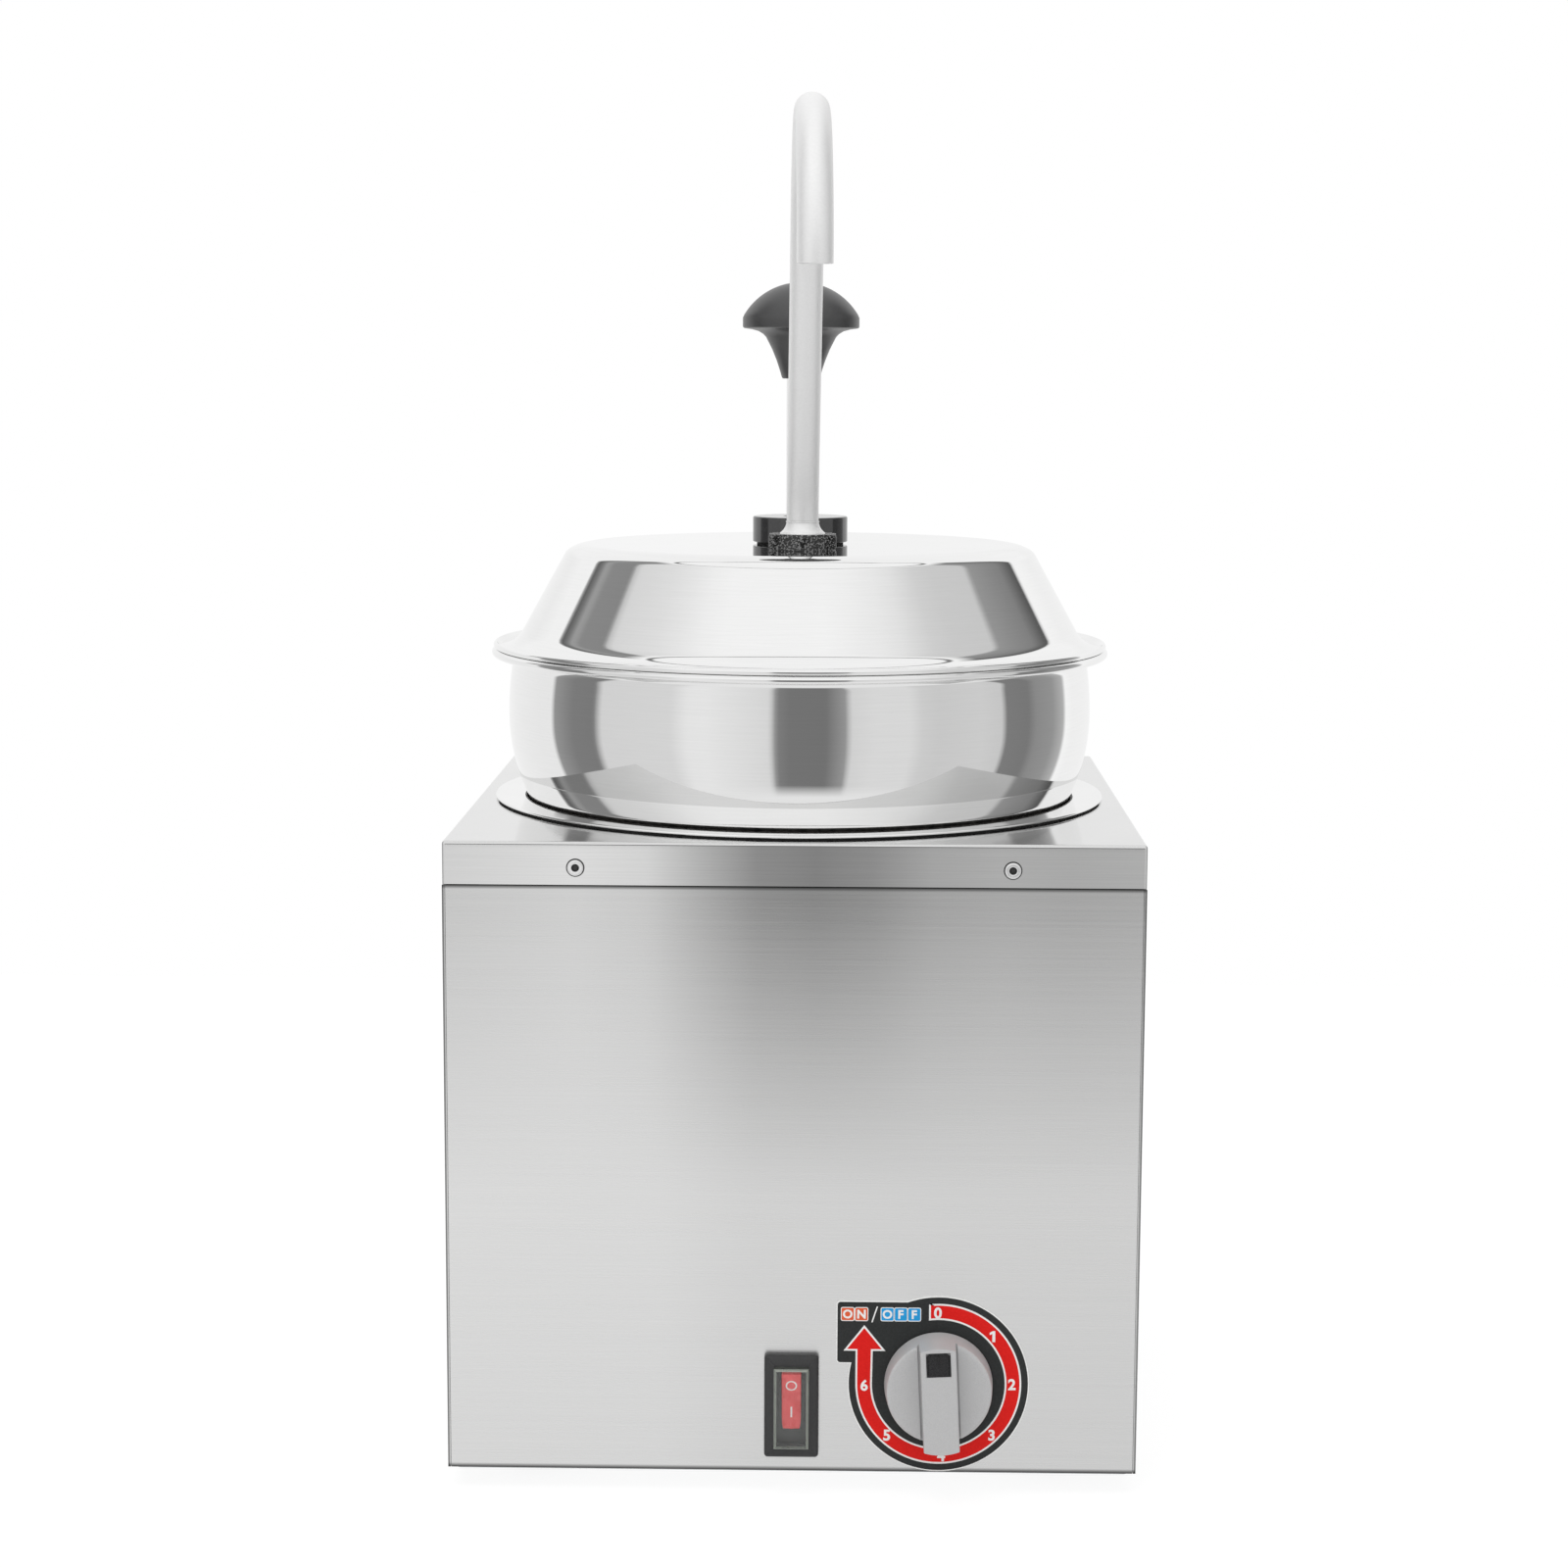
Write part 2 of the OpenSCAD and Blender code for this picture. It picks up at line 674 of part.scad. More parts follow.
// Mineral wool round the well
module insulation_jacket() {
    color("khaki") tube(well_out_r + jacket_t, well_out_r + fit,
        well_floor_z + well_corner_r, deck_under - jacket_drop);
}

// Tubular element: an open ring with two legs at the rear
module heating_element() {
    half = element_gap_a/2;
    color("dimgray") translate([0, 0, element_z]) {
        rotate([0, 0, 90 + half]) rotate_extrude(angle = 360 - element_gap_a)
            translate([ring_r, 0]) circle(element_r, $fn = 32);
        for (s = [-1, 1]) rotate([0, 0, 90 + s*half]) translate([ring_r, 0, 0]) {
            sphere(element_r, $fn = 32);
            translate([0, 0, -leg_len]) cylinder(h = leg_len, r = element_r, $fn = 32);
            translate([0, 0, -leg_len - 3*element_r])
                cylinder(h = 3*element_r, r = element_r/2, $fn = 24);
        }
    }
}

// Pan that presses the element and the bulb up against the well
module element_pan() {
    half = element_gap_a/2;
    color("silver") difference() {
        union() {
            translate([0, 0, pan_z]) cylinder(h = pan_t, r = pan_r);
            tube(pan_r, pan_r - pan_t, pan_z, pan_z + pan_rim_h);
        }
        translate([0, 0, pan_z - over]) {
            cylinder(h = pan_t + 2*over, r = stud_r + fit);
            translate([0, limit_y, 0]) cylinder(h = pan_t + 2*over, r = limit_r*1.6);
            translate([bulb_x + 3*element_r, bulb_y, 0])
                cylinder(h = pan_t + 2*over, r = element_r);
            for (s = [-1, 1]) rotate([0, 0, 90 + s*half]) translate([ring_r, 0, 0])
                cylinder(h = pan_t + 2*over, r = element_r*1.4);
        }
    }
}

// Flanged nut on the well's stud
module pan_nut() {
    color("darkgray") difference() {
        union() {
            translate([0, 0, pan_z - 2*stud_r]) cylinder(h = 2*stud_r, r = 2*stud_r, $fn = 6);
            translate([0, 0, pan_z - stud_r/2]) cylinder(h = stud_r/2, r = 3*stud_r);
        }
        translate([0, 0, pan_z - 2*stud_r - over])
            cylinder(h = 2*stud_r + 2*over, r = stud_r + fit/2);
    }
}

// Over-temperature switch against the well's floor
module limit_switch() {
    color("tan") translate([0, limit_y, well_floor_z - fit]) {
        translate([0, 0, -limit_h/3]) cylinder(h = limit_h/3, r = limit_r*1.3);
        translate([0, 0, -2*limit_h]) cylinder(h = 2*limit_h, r = limit_r);
        for (s = [-1, 1]) translate([s*limit_r/2 - limit_r/4, -limit_r/16, -3.4*limit_h])
            cube([limit_r/2, limit_r/8, 1.6*limit_h]);
    }
}

// Thermostat's bulb, held under the well
module sensing_bulb() {
    color("peru") translate([0, bulb_y, element_z]) rotate([0, 90, 0]) {
        cylinder(h = bulb_len, r = element_r, center = true);
        for (s = [-1, 1]) translate([0, 0, s*bulb_x]) sphere(element_r);
    }
}

// Capillary tube from the bulb to the thermostat
stat_back = panel_back + stat_plate_t + stat_d;
bend_swell = 1.06;
tube_drop = 12;
tube_dip = 18;
tube_side = 22;
tube_mid_y = -40;
tube_back = 10;
tube_end_z = dial_c[1] + stat_h/4;
capillary_route = [
    [bulb_x + element_r + fit, bulb_y, element_z],
    [bulb_x + 3*element_r, bulb_y, element_z],
    [bulb_x + 3*element_r, bulb_y, pan_z - tube_drop],
    [dial_x + tube_side, tube_mid_y, pan_z - tube_dip],
    [dial_x + tube_side, stat_back + tube_back, tube_end_z],
    [dial_x, stat_back + tube_back, tube_end_z],
    [dial_x, stat_back + fit, tube_end_z]
];
module capillary() {
    color("peru") for (i = [0:len(capillary_route) - 2]) {
        a = capillary_route[i];
        b = capillary_route[i + 1];
        d = b - a;
        translate(a) {
            rotate([0, acos(d[2]/norm(d)), atan2(d[1], d[0])])
                cylinder(h = norm(d), r = cap_r, $fn = 24);
            if (i > 0) sphere(cap_r*bend_swell, $fn = 24);
        }
    }
}

// Thermostat behind the panel, with its plate and tabs
module thermostat_body() {
    color("whitesmoke") translate([dial_c[0], panel_back, dial_c[1]]) difference() {
        union() {
            translate([-stat_w/2, 0, -stat_h/2]) cube([stat_w, stat_plate_t, stat_h]);
            translate([-stat_w/2 + sheet, stat_plate_t, -stat_h/2 + sheet])
                cube([stat_w - 2*sheet, stat_d, stat_h - 2*sheet]);
            for (x = [-1, 0, 1]) translate([x*stat_w/3 - stat_w/16, stat_plate_t + stat_d,
                -stat_h/4]) cube([stat_w/8, stat_d/3, sheet]);
        }
        rotate([-90, 0, 0]) {
            translate([0, 0, -over]) cylinder(h = stat_d/2 + over, r = shaft_r + run_gap);
            for (s = [-1, 1]) translate([0, s*stat_screw_z, -over])
                cylinder(h = stat_d/2 + over, r = stat_screw_r + fit/2, $fn = 32);
        }
    }
}
stat_screw_r = 1.9;

// Screws that hold the thermostat, hidden under the knob
module thermostat_screws() {
    color("gainsboro") for (s = [-1, 1])
        translate([dial_c[0], front_y - dial_t, dial_c[1] + s*stat_screw_z])
            rotate([-90, 0, 0]) pan_screw(stat_screw_r, dial_t + sheet + stat_d/3,
                1.7*stat_screw_r, stat_screw_r);
}

// Terminal block on the base plate
block_w = 44;
block_d = 18;
block_h = 15;
module terminal_block() {
    color("ivory") translate([block_x, block_y, foot_h]) difference() {
        union() {
            translate([-block_w/2, -block_d/2, 0]) cube([block_w, block_d, block_h*0.7]);
            for (i = [-1:1]) translate([i*block_w/3, 0, 0])
                translate([-block_w/8, -block_d/3, 0]) cube([block_w/4, block_d/1.5, block_h]);
        }
        for (i = [-1:1]) translate([i*block_w/3, 0, block_h/2])
            cylinder(h = block_h, r = block_d/6, $fn = 32);
    }
}

// Terminal screws, sunk in the block
module terminal_screws() {
    color("goldenrod") for (i = [-1:1])
        translate([block_x + i*block_w/3, block_y, foot_h + block_h/2]) difference() {
            cylinder(h = block_h/4, r = block_d/6 - fit, $fn = 32);
            translate([-block_d/6, -block_d/40, block_h/4 - block_h/16])
                cube([block_d/3, block_d/20, block_h/8]);
        }
}

// Black bushing where the power lead would come in
module cord_bushing() {
    color([0.1, 0.1, 0.1]) translate([bushing_x, back_y, bushing_z]) rotate([90, 0, 0])
        difference() {
            union() {
                translate([0, 0, -bushing_r*0.6]) cylinder(h = bushing_r*0.6,
                    r1 = bushing_flange_r*0.8, r2 = bushing_flange_r);
                cylinder(h = sheet + bushing_r, r = bushing_r);
            }
            translate([0, 0, -bushing_r*0.6 - over])
                cylinder(h = sheet + 1.6*bushing_r + 2*over, r = bushing_bore_r);
        }
}

// Nut inside the back that holds the bushing
module bushing_nut() {
    color([0.15, 0.15, 0.15]) translate([bushing_x, back_y - sheet - fit, bushing_z])
        rotate([90, 0, 0]) difference() {
            cylinder(h = bushing_r/2, r = bushing_flange_r*1.1, $fn = 6);
            translate([0, 0, -over]) cylinder(h = bushing_r/2 + 2*over, r = bushing_r + fit/2);
        }
}

// Dial plate: a black disc with a square tab at its upper left
tab_corner_r = 1.5;
module dial_plate() {
    color([0.15, 0.15, 0.16]) translate([dial_c[0], front_y, dial_c[1]]) rotate([90, 0, 0])
        linear_extrude(dial_t) difference() {
            union() {
                circle(dial_r);
                translate([-tab_w/2, tab_top - tab_h/2]) round_rect(tab_w, tab_h, tab_corner_r);
            }
            circle(shaft_r + sheet);
            for (s = [-1, 1]) translate([0, s*stat_screw_z]) circle(stat_hole_r, $fn = 32);
        }
}

// Switch housing: bevelled bezel in front, body and pivot frame behind
module switch_housing() {
    open_w = cap_w + 2*fit;
    open_h = cap_h + 2*fit;
    hole_w = rocker_w + 4*fit;
    hole_h = rocker_h + 12*fit;
    color([0.12, 0.12, 0.12]) difference() {
        union() {
            translate([0, front_y, switch_c]) bevel_block(bezel_w, bezel_h, bezel_d, bezel_cut);
            block([-cutout_w/2 + fit, frame_y + fit, switch_c - cutout_h/2 + fit],
                [cutout_w/2 - fit, panel_back + body_depth, switch_c + cutout_h/2 - fit]);
        }
        block([-open_w/2, front_y - bezel_d - over, switch_c - open_h/2],
            [open_w/2, frame_y, switch_c + open_h/2]);
        block([-hole_w/2, frame_y - over, rocker_c - hole_h/2],
            [hole_w/2, panel_back + body_depth*0.4, rocker_c + hole_h/2]);
        translate([0, rocker_y, rocker_c]) rotate([0, 90, 0])
            cylinder(h = rocker_w + 2*pivot_len + 4*fit, r = pivot_r + run_gap, center = true,
                $fn = 32);
    }
}
pivot_r = 1;
pivot_len = 1.2;
bezel_cut = 2;
cap_cut = 1.2;

// Blade terminals at the back of the switch
module switch_terminals() {
    color("goldenrod") for (i = [-1:1])
        translate([-cap_w/4, panel_back + body_depth, switch_c + i*cap_h/3.4 - sheet/2])
            cube([cap_w/2, body_depth*0.45, sheet*0.8]);
}

// Clear cap over the rocker
module switch_cap() {
    color([0.8, 0.85, 0.85, 0.4]) difference() {
        translate([0, frame_y, switch_c]) bevel_block(cap_w, cap_h, cap_d - sheet, cap_cut);
        block([-cap_w/2 + cap_t, front_y - cap_d + cap_t, switch_c - cap_h/2 + cap_t],
            [cap_w/2 - cap_t, frame_y + over, switch_c + cap_h/2 - cap_t]);
    }
}

// Rocker, lying with its lower half pressed in
module switch_rocker() {
    l = rocker_h/2;
    proud = 3.6;
    dip = 2.4;
    root = 1.2;
    color([0.85, 0.15, 0.12]) translate([0, rocker_y, rocker_c]) rotate([rocker_a, 0, 0]) {
        rotate([90, 0, 90]) translate([0, 0, -rocker_w/2]) linear_extrude(rocker_w)
            polygon([[root, -l*0.8], [root, l*0.8], [-root, l], [-proud, l - fit],
                [-dip, 0], [-proud, fit - l], [-root, -l]]);
        rotate([0, 90, 0]) cylinder(h = rocker_w + 2*pivot_len, r = pivot_r, center = true,
            $fn = 32);
    }
}

// Dial knob: hollow skirt with a raised grip across it
module dial_knob() {
    back = 0.8;
    rim = dial_knob_r*0.965;
    hub_r = shaft_r*2.1;
    wall = dial_knob_r*0.11;
    groove = 0.9;
    color("silver") translate([dial_c[0], front_y - dial_t, dial_c[1]]) rotate([90, 0, 0])
        difference() {
            union() {
                translate([0, 0, back])
                    cylinder(h = skirt_d - back, r1 = dial_knob_r, r2 = rim);
                intersection() {
                    translate([-grip_w/2, -dial_knob_r, back])
                        cube([grip_w, 2*dial_knob_r, grip_d - back]);
                    translate([0, 0, back]) cylinder(h = grip_d - back,
                        r1 = dial_knob_r, r2 = dial_knob_r*0.95);
                }
            }
            difference() {
                translate([0, 0, back - over])
                    cylinder(h = skirt_d*0.6 + over, r = dial_knob_r - wall);
                cylinder(h = skirt_d, r = hub_r);
            }
            translate([0, 0, back - over])
                cylinder(h = skirt_d + over, r = shaft_r + fit/2);
            for (s = [-1, 1]) translate([s*(grip_w + groove)/2 - groove/2, -dial_knob_r,
                skirt_d - groove]) cube([groove, 2*dial_knob_r, groove + over]);
            translate([-insert_w/2 - fit, insert_y - fit, grip_d - insert_t])
                cube([insert_w + 2*fit, insert_w + 2*fit, insert_t + over]);
        }
}
insert_t = 1;
insert_y = dial_knob_r*0.94 - insert_w - 1;

// Black insert near the grip's upper end
module dial_insert() {
    c = insert_w*0.16;
    w = insert_w;
    color([0.1, 0.1, 0.1])
        translate([dial_c[0] - w/2, front_y - dial_t - grip_d + insert_t - fit/2,
            dial_c[1] + insert_y]) rotate([90, 0, 0]) linear_extrude(insert_t + fit)
            polygon([[0, 0], [w, 0], [w, w - c], [w - c, w], [c, w], [0, w - c]]);
}

// Shaft from the thermostat into the knob
module thermostat_shaft() {
    color("silver") translate([dial_c[0], front_y - dial_t - skirt_d*0.9, dial_c[1]])
        rotate([-90, 0, 0])
            cylinder(h = dial_t + skirt_d*0.9 + sheet + stat_d/2 - fit, r = shaft_r);
}

// Outline of the pot's wall, drawn in by a distance
function pot_line(t) = let (
        fillet = pot_fillet_r + t,
        neck_z = pot_z - pot_t - pot_fillet_r,
        neck_a = asin((neck_z - belly_z)/belly_high_r),
        neck = belly_r - belly_high_r*(1 - cos(neck_a)),
        step_a = -75,
        heel_r = 3,
        heel_z = shoulder_c[1] + (shoulder_r + heel_r)*sin(step_a)
            + (sump_r + heel_r - shoulder_c[0] - (shoulder_r + heel_r)*cos(step_a))
                *tan(90 + step_a),
        foot = pot_corner_r
    ) concat(
        [[0, pot_floor_z + t]],
        arc([sump_r - foot, pot_floor_z + foot], foot - t, -90, 0),
        flip(arc([sump_r + heel_r, heel_z], heel_r + t, 90 + (90 + step_a), 180, 6)),
        flip(arc(shoulder_c, shoulder_r - t, -shoulder_a, step_a, 12)),
        arc(low_c, belly_low_r - t, -shoulder_a, 0, 14),
        arc([belly_r - belly_high_r, belly_z], belly_high_r - t, 0, neck_a, 8),
        arc([neck + pot_fillet_r, neck_z], fillet, 180, 90, 8)
    );

// Inset pot: bulged above the deck, straight below it, with a hemmed rim
module pot() {
    hem_r = pot_hem/2;
    outline = concat(
        pot_line(0),
        arc([pot_rim_r - hem_r, pot_z - hem_r], hem_r, -150, 90, 12),
        flip(pot_line(pot_t))
    );
    color("whitesmoke") rotate_extrude($fn = 128) polygon(outline);
}

// Outline of the lid's sheet, drawn in by a distance
cone_dir = 90 - lid_cone_a;
soft_a = 30;
foot_z = lid_z + lid_t;
foot_c = [lid_rim_r - lid_hem/2 - lid_ledge, foot_z + lid_foot_r];
cone_foot_r = foot_c[0] - lid_foot_r*tan(cone_dir/2);
tight_step = (lid_soft_r - lid_tight_r)*[sin(soft_a), cos(soft_a)];
cone_step = lid_tight_r*[sin(cone_dir), cos(cone_dir)];
cone_top_z = lid_top - lid_soft_r + tight_step[1] + cone_step[1];
cone_top_r = cone_foot_r - (cone_top_z - foot_z)*tan(lid_cone_a);
soft_c = [cone_top_r - cone_step[0] - tight_step[0], lid_top - lid_soft_r];
tight_c = soft_c + tight_step;
function lid_line(t) = concat(
    [[0, lid_top - t], [soft_c[0], lid_top - t]],
    flip(arc(soft_c, lid_soft_r - t, 90 - soft_a, 90, 6)),
    flip(arc(tight_c, lid_tight_r - t, 90 - cone_dir, 90 - soft_a, 6)),
    arc(foot_c, lid_foot_r + t, 270 - cone_dir, 270, 8)
);

// Lid: flat top, tight shoulder, cone and hemmed rim, with two holes for the pump
module lid() {
    hem_r = lid_hem/2;
    outline = concat(
        lid_line(0),
        arc([lid_rim_r - hem_r, lid_z + hem_r], hem_r, 90, -90, 8),
        flip(lid_line(lid_t))
    );
    color("whitesmoke") difference() {
        rotate_extrude($fn = 128) polygon(outline);
        translate([0, 0, lid_under - over])
            cylinder(h = lid_t + 2*over, r = barrel_r + fit);
        translate([nut_spot[0], nut_spot[1], lid_under - over])
            cylinder(h = lid_t + 2*over, r = riser_head_r + fit);
    }
}

// Seal under the collar
module collar_seal() {
    color([0.2, 0.2, 0.2]) tube(collar_r - 2*pump_seat_t, barrel_r + fit, lid_top, collar_foot);
}

// Black collar screwed on the barrel's neck
module pump_collar() {
    edge = 0.8;
    color([0.08, 0.08, 0.08]) difference() {
        union() {
            translate([0, 0, collar_foot])
                cylinder(h = collar_top - collar_foot - edge, r = collar_r);
            translate([0, 0, collar_top - edge])
                cylinder(h = edge, r1 = collar_r, r2 = collar_r - edge);
        }
        translate([0, 0, collar_foot - over])
            cylinder(h = collar_ceiling - collar_foot + over, r = barrel_r + fit/2);
        translate([0, 0, collar_foot]) cylinder(h = 2*collar_h, r = rod_r + run_gap);
    }
}

// Soft washer that stops the piston under the collar
module stop_washer() {
    color([0.25, 0.25, 0.25])
        tube(barrel_r - fit, rod_r + 4*run_gap, barrel_top, collar_ceiling);
}

// Pump barrel, with its shoulder under the lid and its intake neck below
module pump_barrel() {
    color("lightgray") difference() {
        union() {
            translate([0, 0, barrel_foot]) cylinder(h = barrel_top - barrel_foot, r = barrel_r);
            translate([0, 0, valve_top]) cylinder(h = barrel_foot - valve_top, r = neck_r);
            translate([0, 0, lid_under - flange_t]) cylinder(h = flange_t, r = shoulder_disc_r);
        }
        translate([0, 0, barrel_foot + neck_wall])
            cylinder(h = barrel_top - barrel_foot, r = barrel_bore_r);
        translate([0, 0, valve_top - over])
            cylinder(h = barrel_foot - valve_top + neck_wall + 2*over, r = neck_bore_r);
    }
}

// Valve body: joins the intake neck to the discharge riser through two ball valves
module valve_body() {
    bridge_w = 1.8*valve_out_r;
    duct_r = ball_r*0.62;
    throat_r = ball_r*0.72;
    cage_r = ball_r*1.12;
    bar_w = 2;
    color("lightgray") {
        difference() {
            union() {
                translate([0, 0, valve_z]) cylinder(h = valve_h, r = valve_r);
                translate([nut_spot[0], nut_spot[1], valve_z])
                    cylinder(h = valve_h, r = valve_out_r);
                rotate([0, 0, pump_turn]) translate([-bridge_w/2, -nut_reach, valve_z])
                    cube([bridge_w, nut_reach, valve_h*0.8]);
            }
            translate([0, 0, valve_z - over]) cylinder(h = valve_h, r = throat_r);
            translate([0, 0, inlet_seat]) cylinder(h = valve_h, r = cage_r);
            translate([0, 0, cage_top]) cylinder(h = valve_h, r = neck_bore_r);
            translate([nut_spot[0], nut_spot[1], passage_z - throat_r - over])
                cylinder(h = valve_h, r = throat_r);
            translate([nut_spot[0], nut_spot[1], outlet_seat])
                cylinder(h = valve_h, r = cage_r);
            rotate([0, 0, pump_turn]) translate([0, 0, passage_z]) rotate([90, 0, 0])
                cylinder(h = nut_reach - throat_r/2, r = duct_r);
        }
        rotate([0, 0, pump_turn]) translate([-valve_r + bar_w, -bar_w/2, inlet_stop])
            cube([2*valve_r - 2*bar_w, bar_w, bar_w]);
    }
}
inlet_rise = 8;
inlet_seat = valve_z + inlet_rise;
ball_seat_rise = ball_r*0.7;
cage_top = inlet_seat + ball_seat_rise + ball_r;
inlet_stop = cage_top + ball_lift;
outlet_seat = valve_top - ball_lift - 2*ball_r;
passage_z = outlet_seat - ball_r;

// Inlet ball, resting on its seat
module inlet_ball() {
    color("silver") translate([0, 0, inlet_seat + ball_seat_rise]) sphere(ball_r, $fn = 48);
}

// Outlet ball, resting on its seat
module outlet_ball() {
    color("silver") translate([nut_spot[0], nut_spot[1], outlet_seat + ball_seat_rise])
        sphere(ball_r, $fn = 48);
}

// Discharge riser from the valve body up through the lid
module discharge_riser() {
    color("lightgray") translate([nut_spot[0], nut_spot[1], 0]) difference() {
        union() {
            translate([0, 0, valve_top]) cylinder(h = riser_top - valve_top, r = riser_r);
            translate([0, 0, lid_under - flange_t])
                cylinder(h = flange_t, r = riser_head_r + ring_t);
            translate([0, 0, lid_under - flange_t])
                cylinder(h = riser_top - lid_under + flange_t, r = riser_head_r);
        }
        translate([0, 0, valve_top - over])
            cylinder(h = riser_top - valve_top + 2*over, r = ball_r*0.72);
        translate([0, 0, valve_top + ball_lift])
            cylinder(h = riser_top - valve_top, r = riser_bore_r);
        tube(riser_bore_r + 2*ring_t, riser_bore_r + ring_t, riser_top - ring_t, riser_top + over);
    }
}

// Rubber ring in the riser's head
module riser_seal() {
    color([0.2, 0.2, 0.2]) translate([nut_spot[0], nut_spot[1], 0])
        tube(riser_bore_r + 2*ring_t - fit, riser_bore_r + ring_t + fit, riser_top - ring_t,
            riser_top + fit);
}

// Knurled union nut that holds the spout's flange
module spout_nut() {
    color([0.08, 0.08, 0.08]) translate([nut_spot[0], nut_spot[1], 0]) difference() {
        translate([0, 0, lid_top + seat]) knurled_drum(nut_r, nut_h);
        translate([0, 0, lid_top])
            cylinder(h = nut_h + seat - nut_lip, r = riser_head_r + fit);
        translate([0, 0, lid_top]) cylinder(h = 2*nut_h, r = flare_r + fit);
    }
}

// A block w wide, h high and d deep, standing out towards -Y, its front edges cut by c
module bevel_block(w, h, d, c) {
    intersection() {
        rotate([0, 0, 180]) translate([0, 0, -h/2]) linear_extrude(h)
            polygon([[-w/2, 0], [w/2, 0], [w/2, d - c], [w/2 - c, d], [c - w/2, d],
                [-w/2, d - c]]);
        rotate([0, -90, 180]) translate([0, 0, -w/2]) linear_extrude(w)
            polygon([[-h/2, 0], [h/2, 0], [h/2, d - c], [h/2 - c, d], [c - h/2, d],
                [-h/2, d - c]]);
    }
}

// A drum with fine upright flutes
module knurled_drum(r, h) {
    n = 36;
    depth_share = 0.03;
    difference() {
        cylinder(h = h, r = r);
        for (i = [0:n - 1]) rotate([0, 0, i*360/n]) translate([r, 0, -over])
            rotate([0, 0, 45]) cylinder(h = h + 2*over, r = r*depth_share, $fn = 4);
    }
}

// Cross-section of the spout tube, a little thicker where two pieces join
module tube_ring(swell = 0) {
    difference() {
        circle(tube_r + swell, $fn = 48);
        circle(tube_bore_r - swell, $fn = 48);
    }
}

// Thin band that joins two pieces of tube, lying across z = 0
module joint_band() {
    translate([0, 0, -band_l]) linear_extrude(2*band_l) tube_ring(band_swell);
}

// Tube along the goose neck: foot bend, leaning riser and big bend, with their joints
module neck_path() {
    rotate([90, 0, -90]) {
        rotate([-90, 0, 0]) joint_band();
        translate([foot_bend_r, 0, 0]) rotate([0, 0, 180 - lean_a])
            rotate_extrude(angle = lean_a) translate([foot_bend_r, 0]) tube_ring();
        translate([foot_bend_r*(1 - cos(lean_a)), foot_bend_r*sin(lean_a), 0])
            rotate([0, 0, -lean_a]) {
                rotate([-90, 0, 0]) joint_band();
                translate([0, band_l/2, 0]) rotate([-90, 0, 0])
                    linear_extrude(riser_len - band_l) tube_ring();
                translate([0, riser_len, 0]) rotate([-90, 0, 0]) joint_band();
                translate([neck_bend_r, riser_len, 0]) rotate([0, 0, lean_a])
                    rotate_extrude(angle = 180 - lean_a)
                        translate([neck_bend_r, 0]) tube_ring();
            }
    }
}

// Place of the outlet's upper end, in front of the nut and above the tube's foot
outlet_run = foot_bend_r*(1 - cos(lean_a)) + riser_len*sin(lean_a)
    + neck_bend_r*(1 + cos(lean_a));
outlet_top = foot_bend_r*sin(lean_a) + riser_len*cos(lean_a) - neck_bend_r*sin(lean_a);

// Spout: flared foot, leaning riser and goose neck, cut level at the outlet
module spout() {
    flare = concat(
        [[tube_bore_r, spout_foot_z], [flange_disc_r, spout_foot_z],
            [flange_disc_r, flange_top], [flare_r, flange_top]],
        arc([tube_r + flare_bow, tube_z], flare_bow, 180 + flare_turn, 181, 6),
        [[tube_bore_r, tube_z - band_l/2]]
    );
    color("gainsboro") translate([nut_spot[0], nut_spot[1], 0]) rotate([0, 0, spout_turn]) {
        rotate_extrude() polygon(flare);
        translate([0, 0, tube_z]) neck_path();
        translate([0, -outlet_run, tube_z + outlet_top]) {
            joint_band();
            translate([0, 0, -outlet_len]) linear_extrude(outlet_len - band_l/2) tube_ring();
        }
    }
}
band_l = 0.4;
band_swell = 0.03;
flare_turn = 2*atan((flare_r - tube_r)/flare_h);
flare_bow = flare_h/sin(flare_turn);

// Plunger rod, with the nut that holds its piston
rod_nut_h = 4;
module plunger_rod() {
    color("gainsboro") {
        translate([0, 0, piston_foot - rod_nut_h/2])
            cylinder(h = piston_h + rod_nut_h/2, r = rod_r*0.6, $fn = 48);
        translate([0, 0, piston_top]) cylinder(h = knob_z + grip_in - piston_top, r = rod_r);
        translate([0, 0, piston_foot - rod_nut_h]) cylinder(h = rod_nut_h - fit, r = rod_r, $fn = 6);
    }
}

// Palm knob: domed top with a thin edge and a tapered root
module plunger_knob() {
    root_r = knob_r*0.324;
    throat = [knob_r*0.6, knob_h*0.43];
    brow = [knob_r*0.85, knob_h*0.512];
    edge_z = knob_h*0.522;
    band_z = knob_h*0.638;
    dome_h = knob_h - band_z;
    dome_r = (pow(knob_r, 2) + pow(dome_h, 2))/(2*dome_h);
    dome_a = asin(knob_r/dome_r);
    profile = concat(
        [[0, 0], [root_r, 0], [root_r*1.3, throat[1]*0.45], throat, brow, [knob_r*0.97, edge_z],
            [knob_r, edge_z + knob_h*0.02]],
        arc([0, knob_h - dome_r], dome_r, 90 - dome_a, 90, 14)
    );
    color([0.15, 0.15, 0.15]) translate([0, 0, knob_z]) difference() {
        rotate_extrude() polygon(profile);
        translate([0, 0, -over]) cylinder(h = grip_in + over + fit, r = rod_r + fit/2);
    }
}

// Piston with a groove for its seal
groove_d = 2;
module piston() {
    color("ivory") difference() {
        tube(barrel_bore_r - run_gap, rod_r*0.6 + fit/2, piston_foot, piston_top);
        tube(barrel_bore_r + over, barrel_bore_r - groove_d, piston_foot + piston_h*0.4,
            piston_foot + piston_h*0.6);
    }
}

